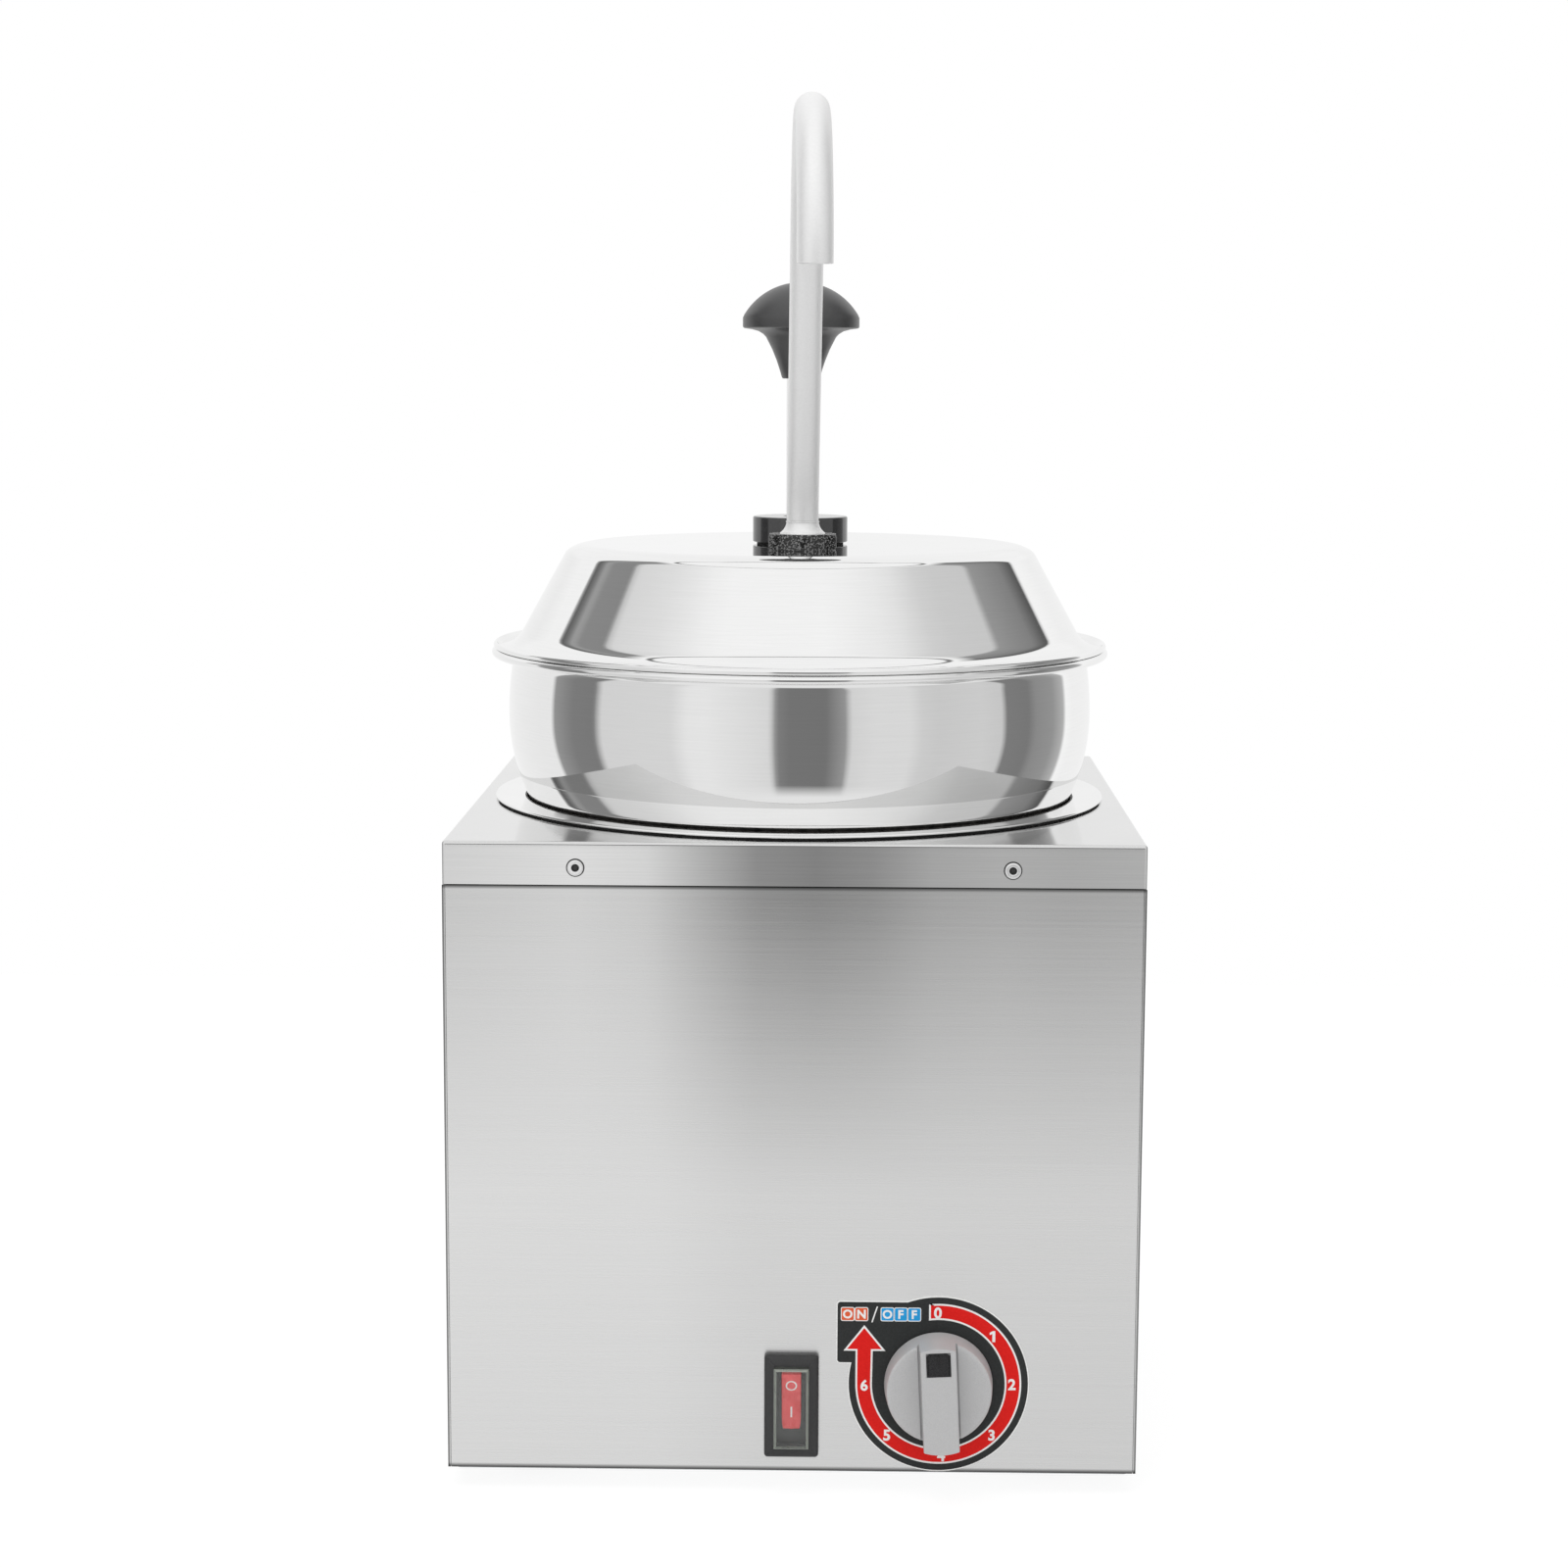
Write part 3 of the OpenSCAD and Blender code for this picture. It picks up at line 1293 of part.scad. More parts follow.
// Seal ring in the piston's groove
module piston_seal() {
    color([0.2, 0.2, 0.2]) tube(barrel_bore_r - run_gap/2, barrel_bore_r - groove_d + fit,
        piston_foot + piston_h*0.4 + fit, piston_foot + piston_h*0.6 - fit);
}

// Return spring: one unbroken wound wire under the piston
ring_sides = 6;
rings_a_coil = 8;
spring_rings = coils*rings_a_coil;
coil_low = spring_foot + wire_r;
coil_high = spring_head - wire_r;
function coil_at(i) = [coil_r*cos(i*360/rings_a_coil), coil_r*sin(i*360/rings_a_coil),
    coil_low + (coil_high - coil_low)*i/spring_rings];
spring_pts = [for (i = [0:spring_rings], k = [0:ring_sides - 1])
    let (a = i*360/rings_a_coil, b = k*360/ring_sides, p = coil_at(i))
    [p[0] + wire_r*cos(b)*cos(a), p[1] + wire_r*cos(b)*sin(a), p[2] + wire_r*sin(b)]];
spring_faces = concat(
    [[for (k = [0:ring_sides - 1]) k]],
    [for (i = [0:spring_rings - 1], k = [0:ring_sides - 1])
        let (a = i*ring_sides + k, b = i*ring_sides + (k + 1)%ring_sides)
        each [[a, a + ring_sides, b + ring_sides], [a, b + ring_sides, b]]],
    [[for (k = [ring_sides - 1:-1:0]) spring_rings*ring_sides + k]]
);
spring_pitch = (coil_high - coil_low)/coils;
echo(least_gap_between_coils = spring_pitch - 2*wire_r);
module return_spring() {
    color("silver") polyhedron(spring_pts, spring_faces, convexity = 10);
}

front_panel();
body_wrap();
base_plate();
base_screws();
feet();
foot_screws();
top_cover();
cover_rivets();
well();
well_seal();
well_clips();
insulation_jacket();
heating_element();
element_pan();
pan_nut();
limit_switch();
sensing_bulb();
capillary();
thermostat_body();
thermostat_screws();
terminal_block();
terminal_screws();
cord_bushing();
bushing_nut();
dial_plate();
switch_housing();
switch_terminals();
switch_cap();
switch_rocker();
dial_knob();
dial_insert();
thermostat_shaft();
pot();
lid();
collar_seal();
pump_collar();
stop_washer();
pump_barrel();
valve_body();
discharge_riser();
spout_nut();
riser_seal();
spout();
plunger_rod();
plunger_knob();
piston();
piston_seal();
return_spring();
inlet_ball();
outlet_ball();
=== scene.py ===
import math

import bpy
from mathutils import Euler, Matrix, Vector


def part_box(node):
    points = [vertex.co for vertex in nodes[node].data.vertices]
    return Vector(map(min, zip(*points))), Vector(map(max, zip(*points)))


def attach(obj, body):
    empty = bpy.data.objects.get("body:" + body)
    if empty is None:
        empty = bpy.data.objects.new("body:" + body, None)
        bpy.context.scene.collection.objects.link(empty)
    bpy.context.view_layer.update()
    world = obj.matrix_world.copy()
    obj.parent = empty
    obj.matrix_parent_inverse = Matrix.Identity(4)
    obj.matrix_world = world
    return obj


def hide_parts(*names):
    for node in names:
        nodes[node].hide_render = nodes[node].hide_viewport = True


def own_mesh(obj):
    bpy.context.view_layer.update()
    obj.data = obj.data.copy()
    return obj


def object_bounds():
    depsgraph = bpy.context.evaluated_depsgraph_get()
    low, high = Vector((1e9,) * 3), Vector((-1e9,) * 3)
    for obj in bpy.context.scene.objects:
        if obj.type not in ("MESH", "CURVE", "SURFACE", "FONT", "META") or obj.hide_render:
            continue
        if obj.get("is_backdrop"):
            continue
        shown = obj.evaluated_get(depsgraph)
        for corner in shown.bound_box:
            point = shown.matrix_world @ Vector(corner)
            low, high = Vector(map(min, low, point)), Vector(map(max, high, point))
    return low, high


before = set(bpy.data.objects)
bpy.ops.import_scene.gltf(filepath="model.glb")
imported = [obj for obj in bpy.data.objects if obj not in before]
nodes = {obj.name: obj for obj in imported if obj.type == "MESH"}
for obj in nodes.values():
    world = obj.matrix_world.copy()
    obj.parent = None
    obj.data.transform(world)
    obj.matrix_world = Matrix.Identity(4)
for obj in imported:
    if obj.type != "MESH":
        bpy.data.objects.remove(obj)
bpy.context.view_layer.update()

# Camera: a 70 mm lens at standing height before a counter, a little right of the middle,
# looking down by eight degrees.
MM = 0.001
lens = bpy.data.cameras.new("camera_lens")
lens.lens = 70.08
lens.sensor_width = 36
camera = bpy.data.objects.new("camera", lens)
camera.location = Vector((15.62, -1191.03, 406.38)) * MM
camera.rotation_euler = Euler((1.434287, -0.004113, 0.018622))
bpy.context.scene.collection.objects.link(camera)
bpy.context.scene.camera = camera


# Counter: a matt white table top that keeps the warmer's shadow. Most of what the camera sees
# of it is a glow as bright as the room, so that no horizon shows behind the warmer.
def settle():
    """Writes the place, turn and size of the piece in hand into its mesh."""
    bpy.ops.object.transform_apply()


def set_mode(mode):
    """Takes the piece in hand into edit mode or out of it."""
    bpy.ops.object.mode_set(mode=mode)


def deselect():
    """Leaves edit mode and lets everything go, so the next operator acts on its own piece."""
    if bpy.context.object and bpy.context.object.mode != "OBJECT":
        set_mode("OBJECT")
    bpy.ops.object.select_all(action="DESELECT")


def board(name, paint_name, location, share, rotation=(0, 0, 0)):
    """A flat board of the studio, scaled from a square metre, and its paint's node tree."""
    deselect()
    bpy.ops.mesh.primitive_plane_add(size=1, location=location, rotation=rotation)
    flat = bpy.context.object
    flat.name = name
    bpy.ops.transform.resize(value=share)
    settle()
    paint = bpy.data.materials.new(paint_name)
    paint.use_nodes = True
    flat.data.materials.append(paint)
    return flat, paint.node_tree


def put(node, **numbers):
    """Puts plain numbers on a node's sockets."""
    for socket, number in numbers.items():
        node.inputs[socket.replace("_", " ")].default_value = number
    return node


def add(tree, kind, **numbers):
    """A new shader node of a kind, with plain numbers on its sockets."""
    return put(tree.nodes.new("ShaderNode" + kind), **numbers)


def feed(tree, socket, value):
    """Gives a socket a link or a plain number, which makes a grey on a colour socket."""
    if not isinstance(value, (int, float)):
        tree.links.new(value, socket)
    else:
        socket.default_value = (value, value, value, 1) if socket.type == "RGBA" else value


def math_in(tree, operation, *values):
    """A maths node on sockets or numbers: returns its output."""
    node = add(tree, "Math")
    node.operation = operation
    for socket, value in zip(node.inputs, values):
        feed(tree, socket, value)
    return node.outputs[0]


def blend_in(tree, factor, first, second):
    """Mixes two shaders by a factor and makes the mix the surface."""
    blend = add(tree, "MixShader")
    for socket, source in zip(blend.inputs, (factor, first.outputs[0], second.outputs[0])):
        tree.links.new(source, socket)
    tree.links.new(blend.outputs[0], tree.nodes["Material Output"].inputs["Surface"])


GLOW_SHARE = 0.8
counter, tree = board("counter", "counter_paint", (0, 0.175, 0), (1.4, 1.25, 1))
counter.visible_glossy = False
counter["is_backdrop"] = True
matt = tree.nodes["Principled BSDF"]
put(matt, Base_Color=(0.9, 0.9, 0.9, 1), Roughness=0.9, Specular_IOR_Level=0)
glow = add(tree, "Emission", Strength=1.1)
sight = add(tree, "LightPath")
blend_in(tree, math_in(tree, "MULTIPLY", sight.outputs["Is Camera Ray"], GLOW_SHARE), matt, glow)


# Reflector card: a graded board close before the panel, as a photographer sets one for brushed
# steel. A grid over it lets it shine straight ahead only, so the round pieces don't mirror it.
def axes_in(tree, kind):
    """The X, Y and Z outputs of a kind of texture coordinate."""
    where = add(tree, "TexCoord")
    split = add(tree, "SeparateXYZ")
    tree.links.new(where.outputs[kind], split.inputs[0])
    return split.outputs


def ramp_in(tree, source, stops, span=1.0):
    """A ramp through (position, grey or colour) stops, their positions divided by span."""
    ramp = add(tree, "ValToRGB")
    marks = ramp.color_ramp.elements
    marks.remove(marks[0])
    for i, (position, shade) in enumerate(stops):
        mark = marks[0] if i == 0 else marks.new(1)
        mark.position = position / span
        mark.color = (*shade, 1) if isinstance(shade, tuple) else (shade, shade, shade, 1)
    tree.links.new(source, ramp.inputs["Fac"])
    return ramp.outputs["Color"]


def rise_in(tree, source, low, high, start=0.0, end=1.0):
    """Maps a value between low and high onto start and end, held flat outside."""
    span = add(tree, "MapRange", From_Min=low, From_Max=high, To_Min=start, To_Max=end)
    tree.links.new(source, span.inputs["Value"])
    return span.outputs["Result"]


def mix_in(tree, factor, a, b, kind="MIX"):
    """Mixes two colours, given as sockets or greys, by a factor and returns the mix."""
    mix = add(tree, "Mix")
    mix.data_type, mix.blend_type = "RGBA", kind
    colours = [socket for socket in mix.inputs if socket.type == "RGBA"]
    for socket, value in zip([mix.inputs["Factor"], *colours], (factor, a, b)):
        feed(tree, socket, value)
    return [socket for socket in mix.outputs if socket.type == "RGBA"][0]


card, tree = board("reflector_card", "card_paint", (0, -0.15, 0.042), (0.6, 1, 0.384),
                   (math.pi / 2, 0, 0))
for ray in ("camera", "diffuse", "transmission", "volume_scatter", "shadow"):
    setattr(card, f"visible_{ray}", False)
card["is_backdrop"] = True
card.data.materials[0].cycles.emission_sampling = "NONE"
tree.nodes.remove(tree.nodes["Principled BSDF"])
shine = add(tree, "Emission", Strength=1.16)
gap = add(tree, "BsdfTransparent")
grid = add(tree, "LayerWeight")
blend_in(tree, rise_in(tree, grid.outputs["Facing"], 0.1, 0.15), shine, gap)
axes = axes_in(tree, "Object")
across = rise_in(tree, axes["X"], -0.2, 0.2)
# millimetres from left to right with a grey value, for the card's upper and lower part
CARD_SPAN = 400
upper_greys = [
    (0, 0.68), (70, 0.74), (120, 0.84), (146, 0.77), (166, 0.52), (186, 0.31), (208, 0.26),
    (228, 0.31), (250, 0.44), (275, 0.49), (300, 0.47), (400, 0.57)]
lower_greys = [(0, 1.0), (150, 0.98), (185, 0.9), (260, 0.88), (400, 0.88)]
upper, lower = (ramp_in(tree, across, greys, CARD_SPAN) for greys in (upper_greys, lower_greys))
fade = rise_in(tree, axes["Z"], 0.105, 0.215)
tree.links.new(mix_in(tree, fade, lower, upper), shine.inputs["Color"])


# Lamp: one broad soft box overhead, a little to the left and before the warmer, which gives
# the dull pieces their light. Polished steel doesn't mirror it.
lamp_data = bpy.data.lights.new("overhead_lamp", "AREA")
lamp_data.shape = "RECTANGLE"
lamp_data.size = 1.6
lamp_data.size_y = 1.2
lamp_data.energy = 10
lamp = bpy.data.objects.new("overhead_lamp", lamp_data)
lamp.visible_glossy = False
lamp.location = (-0.45, -0.8, 2.0)
lamp.rotation_euler = (Vector((0, 0, 0.25)) - lamp.location).to_track_quat("-Z", "Y").to_euler()
bpy.context.scene.collection.objects.link(lamp)


# Room: white walls, ceiling and floor with grey flags beside the camera and at both sides for
# the polished steel to mirror: one row at table height, one above it, and a seam overhead.
room = bpy.data.worlds.new("white_room")
room.use_nodes = True
bpy.context.scene.world = room
tree = room.node_tree
walls = tree.nodes["Background"]
axes = axes_in(tree, "Generated")
height = axes["Z"]
azimuth = math_in(tree, "ARCTAN2", axes["X"], math_in(tree, "MULTIPLY", axes["Y"], -1))
turn = rise_in(tree, azimuth, -math.pi, math.pi)
# degrees round the room, 0 behind the camera and positive to its right, with a grey value
low_flags = [
    (-180, 0.95), (-122, 0.88), (-112, 0.88), (-110, 0.32), (-98, 0.22), (-86, 0.21), (-82, 0.71),
    (-50, 0.73), (-43, 0.86), (-36, 0.87), (-12, 0.75), (-10.5, 0.74), (-8, 0.23), (-3, 0.19),
    (11, 0.185), (18.5, 0.33), (20.5, 0.71), (30, 0.76), (44, 0.76), (49, 0.67), (56, 0.64),
    (76, 0.67), (86, 0.63), (88.5, 0.22), (101, 0.205), (106, 0.28), (118, 0.32), (127, 0.48),
    (129, 1.0), (136, 0.95), (180, 0.92)]
high_flags = [
    (-180, 0.95), (-128, 0.98), (-124.5, 1.0), (-123.5, 0.10), (-121, 0.16), (-119, 0.22),
    (-116.5, 0.36), (-114.5, 0.34), (-112, 0.27), (-99, 0.26), (-97, 0.60), (-94, 0.74),
    (-74, 0.81), (-62, 0.88), (-52, 0.95), (-40, 0.99), (0, 1.0), (14, 1.0), (26, 0.96), (45, 0.90),
    (55, 0.84), (61, 0.78), (70, 0.69), (80, 0.65), (99, 0.63), (102, 0.33), (112, 0.28),
    (121, 0.24), (129, 0.12), (131.5, 0.10), (132.5, 1.0), (180, 0.95)]
low, high = (ramp_in(tree, turn, [(a + 180, grey) for a, grey in flags], 360)
             for flags in (low_flags, high_flags))
sides = mix_in(tree, rise_in(tree, height, 0.2, 0.3), low, high)
seam = ramp_in(tree, height, [(0.0, 0.98), (0.838, 0.98), (0.843, 0.2), (0.852, 0.2), (0.857, 0.98)])
ceiling = mix_in(tree, rise_in(tree, height, 0.78, 0.83), sides, seam)
whole = mix_in(tree, rise_in(tree, height, -0.6, -0.5), 0.85, ceiling)
sight = add(tree, "LightPath")
tree.links.new(mix_in(tree, sight.outputs["Is Camera Ray"], whole, 1.0), walls.inputs["Color"])
bpy.context.scene.view_settings.view_transform = "Standard"


# Base: a flat zinc-plated plate under the walls' flanges, with cooling slots, held by four
# screws and standing on rubber feet that are screwed through it.
def finish(name, dark, light, rough, size, detail=3, stretch=(1, 1, 1), span=(0.3, 0.7),
           relief=None, **sockets):
    """A finish with plain numbers on its sockets and a noise that drives its look.

    The noise has a size, a detail and a stretch; what lies in its span runs from dark to light
    and between the two roughnesses. A relief is (depth in metres, strength).
    """
    made = bpy.data.materials.new(name)
    made.use_nodes = True
    tree = made.node_tree
    shader = tree.nodes["Principled BSDF"]
    put(shader, **sockets)
    spot = add(tree, "TexCoord")
    mapping = add(tree, "Mapping", Scale=stretch)
    noise = add(tree, "TexNoise", Scale=size, Detail=detail)
    tree.links.new(spot.outputs["Object"], mapping.inputs["Vector"])
    tree.links.new(mapping.outputs["Vector"], noise.inputs["Vector"])
    grain = noise.outputs["Fac"]
    colour = ramp_in(tree, grain, [(span[0], dark), (span[1], light)])
    tree.links.new(colour, shader.inputs["Base Color"])
    tree.links.new(rise_in(tree, grain, *span, *rough), shader.inputs["Roughness"])
    if relief:
        bump = add(tree, "Bump", Distance=relief[0], Strength=relief[1])
        tree.links.new(grain, bump.inputs["Height"])
        tree.links.new(bump.outputs["Normal"], shader.inputs["Normal"])
    return made


def dress(made, *names):
    """Gives a finish to solids that keep their shape."""
    for name in names:
        mesh = nodes[name].data
        mesh.materials.clear()
        mesh.materials.append(made)


zinc_plate = finish(
    "zinc_plate", (0.55, 0.56, 0.57), (0.68, 0.69, 0.7), (0.3, 0.45), 260, 2, Metallic=1.0)
dress(zinc_plate, "base_plate", "base_screws", "foot_screws")

rubber = finish(
    "rubber", (0.012, 0.012, 0.012), (0.03, 0.03, 0.03), (0.6, 0.8), 1800, relief=(0.00005, 0.4),
    Specular_IOR_Level=0.3)
dress(rubber, "feet")


# Walls: a front panel between a wrap of 1 mm stainless sheet that makes both sides and the
# back, folded on a press brake. The belt's grain runs level all round. Painted shade darkens
# thin lines along the foot and under the skirt, and a painted dark reflection lines the
# upright folds.
brushed_sheet = finish(
    "brushed_sheet", (0.64, 0.64, 0.637), (0.69, 0.69, 0.687), (0.26, 0.33), 4200,
    stretch=(0.003, 0.003, 1), relief=(0.000005, 0.2), Metallic=1.0, Anisotropic=0.6,
    Anisotropic_Rotation=0.25)
tree = brushed_sheet.node_tree
shader = tree.nodes["Principled BSDF"]
axes = axes_in(tree, "Object")
lap_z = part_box("top_cover")[0].z
foot_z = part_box("front_panel")[0].z
WALL_TALL = (lap_z - foot_z) / MM
rising = rise_in(tree, axes["Z"], foot_z, lap_z)
# millimetres up the wall, with the share of the steel's brightness that the painted shade leaves
seam_shade = ramp_in(tree, rising, [(0, 0.03), (0.7, 0.05), (1.1, 1.0), (WALL_TALL - 0.97, 1.0),
                               (WALL_TALL - 0.77, 0.04)], WALL_TALL)
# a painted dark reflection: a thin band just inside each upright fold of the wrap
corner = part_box("body_wrap")[1]
aside, ahead = (math_in(tree, "ABSOLUTE", axes[way]) for way in "XY")
fold_dark_reflection = math_in(tree, "MULTIPLY",
               rise_in(tree, aside, corner.x - 0.9 * MM, corner.x - 0.4 * MM),
               rise_in(tree, ahead, corner.y - 2.0 * MM, corner.y - 1.6 * MM))
edges = mix_in(tree, 1.0, seam_shade, ramp_in(tree, fold_dark_reflection, [(0, 1.0), (1, 0.3)]), "MULTIPLY")
unshaded_grain = shader.inputs["Base Color"].links[0].from_socket
tree.links.new(mix_in(tree, 1.0, unshaded_grain, edges, "MULTIPLY"), shader.inputs["Base Color"])
dress(brushed_sheet, "front_panel", "body_wrap")


# Top cover: a shallow tray of smoother sheet with a round hole for the well, its skirt turned
# down over the walls' lips.
def take(piece):
    """Takes one piece in hand and lets all others go."""
    deselect()
    bpy.context.view_layer.objects.active = piece
    piece.select_set(True)


def run_modifier(piece, kind, **settings):
    """Adds a modifier to a piece and applies it."""
    take(piece)
    work = piece.modifiers.new("work", kind)
    for name, value in settings.items():
        setattr(work, name, value)
    bpy.ops.object.modifier_apply(modifier="work")


def soften(piece, width, segments, angle=30):
    """Rounds the edges of a piece that are sharper than an angle, by a width in mm."""
    run_modifier(piece, "BEVEL", width=width * MM, segments=segments, limit_method="ANGLE",
                 angle_limit=math.radians(angle))


def carve(piece, tool, operation="DIFFERENCE"):
    """Cuts a tool out of a piece, or joins it on, and throws the tool away."""
    run_modifier(piece, "BOOLEAN", operation=operation, object=tool, solver="EXACT")
    bpy.data.objects.remove(tool)


def pick(piece, kind, test):
    """Selects the faces or edges whose middle (mm) and direction pass a test, in edit mode."""
    bpy.context.view_layer.objects.active = piece
    set_mode("EDIT")
    bpy.ops.mesh.select_mode(type=kind)
    bpy.ops.mesh.select_all(action="DESELECT")
    set_mode("OBJECT")
    mesh = piece.data
    if kind == "FACE":
        for face in mesh.polygons:
            face.select = bool(test(face.center / MM, face.normal))
    else:
        for edge in mesh.edges:
            a, b = (mesh.vertices[i].co / MM for i in edge.vertices)
            edge.select = bool(test((a + b) / 2, (b - a).normalized()))
    set_mode("EDIT")


def block(name, low, high):
    """A box between two corners in mm, at the origin and unscaled."""
    deselect()
    low, high = Vector(low), Vector(high)
    bpy.ops.mesh.primitive_cube_add(size=1, location=(low + high) / 2 * MM)
    bpy.ops.transform.resize(value=high - low)
    bpy.ops.transform.resize(value=(MM, MM, MM))
    settle()
    bpy.context.object.name = name
    return bpy.context.object


def drum(name, spot, r, low, high, along="Z", sides=96):
    """A round bar in mm from low to high, standing at spot or lying along Y."""
    deselect()
    middle = (low + high) / 2
    where = (spot[0], spot[1], middle) if along == "Z" else (spot[0], middle, spot[1])
    bpy.ops.mesh.primitive_cylinder_add(
        vertices=sides, radius=r * MM, depth=(high - low) * MM, location=Vector(where) * MM,
        rotation=(0, 0, 0) if along == "Z" else (math.pi / 2, 0, 0))
    settle()
    bpy.context.object.name = name
    return bpy.context.object


def smooth(piece, angle=30, weigh=False):
    """Smooths a piece except across edges sharper than an angle, its large faces kept flat."""
    take(piece)
    bpy.ops.object.shade_smooth_by_angle(angle=math.radians(angle))
    if weigh:
        run_modifier(piece, "WEIGHTED_NORMAL", keep_sharp=True)


def fit(piece, made, body, slot, *stands_for):
    """Gives a finished piece its material, its moving body and the solids it stands for."""
    if made is not None:
        piece.data.materials.clear()
        piece.data.materials.append(made)
    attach(piece, body)
    if stands_for:
        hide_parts(*stands_for)


smooth_sheet = finish(
    "smooth_sheet", (0.70, 0.70, 0.697), (0.74, 0.74, 0.737), (0.07, 0.11), 2200, 4,
    stretch=(0.01, 0.01, 1), Metallic=1.0, Anisotropic=0.3, Anisotropic_Rotation=0.25)
cover_low, cover_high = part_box("top_cover")
top_cover = block("top_cover_sheet", cover_low / MM, cover_high / MM)
pick(top_cover, "FACE", lambda c, n: n.z < -0.9)
bpy.ops.mesh.delete(type="FACE")
pick(top_cover, "EDGE", lambda c, d: abs(d.z) > 0.9 or c.z > cover_high.z / MM - 0.1)
bpy.ops.mesh.bevel(offset=1.2 * MM, segments=6)
run_modifier(top_cover, "SOLIDIFY", thickness=1 * MM, offset=-1)
well_low, well_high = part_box("well")
RIM_Z, RIM_R, STUD_FOOT = well_high.z / MM, well_high.x / MM, well_low.z / MM
WELL_HOLE = 107.77
carve(top_cover, drum("hole_tool", (0, 0), WELL_HOLE, cover_low.z / MM, RIM_Z + 5, sides=192))
smooth(top_cover, 40, weigh=True)
fit(top_cover, smooth_sheet, "cabinet", "brushed_panel", "top_cover")


# Blind rivets: domed aluminium heads with the broken-off steel pin sunk in the middle, two in
# front and two behind. The pin is painted near black as shade in the sunk middle, and a thin
# line of painted shade runs round the head where it meets the skirt.
def push(x, y, z):
    """Extrudes what is selected by a step in mm."""
    bpy.ops.mesh.extrude_region_move(TRANSFORM_OT_translate={"value": Vector((x, y, z)) * MM})


def paint(piece, made, test):
    """Gives a further finish to the faces whose middle (mm) and direction pass a test."""
    piece.data.materials.append(made)
    for face in piece.data.polygons:
        if test(face.center / MM, face.normal):
            face.material_index = len(piece.data.materials) - 1


def line_through(points):
    """Draws a line through points in mm by extruding one vertex, and leaves it selected."""
    deselect()
    bpy.ops.mesh.primitive_plane_add(size=0.001, location=Vector(points[0]) * MM)
    settle()
    set_mode("EDIT")
    bpy.ops.mesh.select_mode(type="VERT")
    bpy.ops.mesh.select_all(action="SELECT")
    bpy.ops.mesh.merge(type="CENTER")
    for a, b in zip(points, points[1:]):
        push(*(Vector(b) - Vector(a)))
    bpy.ops.mesh.select_all(action="SELECT")


def close_up(name, angle=30):
    """Merges doubles, turns the faces outwards, smooths and names the mesh in hand."""
    bpy.ops.mesh.select_all(action="SELECT")
    bpy.ops.mesh.remove_doubles(threshold=0.000004)
    bpy.ops.mesh.normals_make_consistent(inside=False)
    set_mode("OBJECT")
    bpy.context.object.name = name
    smooth(bpy.context.object, angle)
    return bpy.context.object


def lathe(name, outline, spot=(0, 0), along="Z", steps=160, angle=30):
    """Turns an outline of (radius, height) in mm round an upright line, or one along Y."""
    if along == "Z":
        line_through([(spot[0] + r, spot[1], h) for r, h in outline])
        middle, axis = (spot[0] * MM, spot[1] * MM, 0), (0, 0, 1)
    else:
        line_through([(spot[0] + r, h, spot[1]) for r, h in outline])
        middle, axis = (spot[0] * MM, 0, spot[1] * MM), (0, 1, 0)
    bpy.ops.mesh.spin(steps=steps, angle=2 * math.pi, center=middle, axis=axis)
    return close_up(name, angle)


def arc(x, y, r, start, end, count=8):
    """Points of an arc in mm between two angles in degrees."""
    turns = [math.radians(start + (end - start) * i / count) for i in range(count + 1)]
    return [(x + r * math.cos(t), y + r * math.sin(t)) for t in turns]


def raised(base, points):
    """Moves (radius, height) points up to a base."""
    return [(r, base + h) for r, h in points]


def turn_piece(piece, angle, axis, middle=(0, 0, 0)):
    """Turns a piece round a line along an axis through a point in mm."""
    take(piece)
    bpy.ops.transform.rotate(value=angle, orient_axis=axis, center_override=Vector(middle) * MM)
    settle()


rivet_metal = finish(
    "rivet_metal", (0.75, 0.75, 0.75), (0.86, 0.86, 0.86), (0.25, 0.4), 1400, relief=(0.00004, 0.3),
    Metallic=1.0)
pin_and_rim_shade = finish(
    "pin_and_rim_shade", (0.03, 0.03, 0.03), (0.08, 0.08, 0.08), (0.5, 0.7), 1700, Metallic=0.6)
FRONT = cover_low.y / MM
RIVET_X, RIVET_Z = 77.5, 229.5
PIN_R, HEAD_R = 1.4, 2.95
rivet_outline = raised(FRONT, [
    (0, -0.12), (0.95, -0.08), (1.1, -0.3), (1.4, -0.75), (1.75, -0.88), (2.3, -0.86),
    (2.85, -0.62), (3.2, -0.3), (3.3, -0.02), (1.6, 0), (1.6, 3.1), (2.4, 3.1), (2.4, 4.7), (0, 4.7)])
places = [(side, half_turn) for side in (-1, 1) for half_turn in (0, math.pi)]
for number, (side, half_turn) in enumerate(places, 1):
    rivet = lathe(f"blind_rivet_{number}", rivet_outline, (side * RIVET_X, RIVET_Z), "Y", 40, 45)
    if half_turn:
        turn_piece(rivet, half_turn, "Z")
    fit(rivet, rivet_metal, "cabinet", "zinc_steel", "cover_rivets")
    # the sunk pin and a thin ring round the head's edge take the painted shade
    paint(rivet, pin_and_rim_shade, lambda c, n: not PIN_R <= math.hypot(abs(c.x) - RIVET_X,
                                                                 c.z - RIVET_Z) <= HEAD_R)


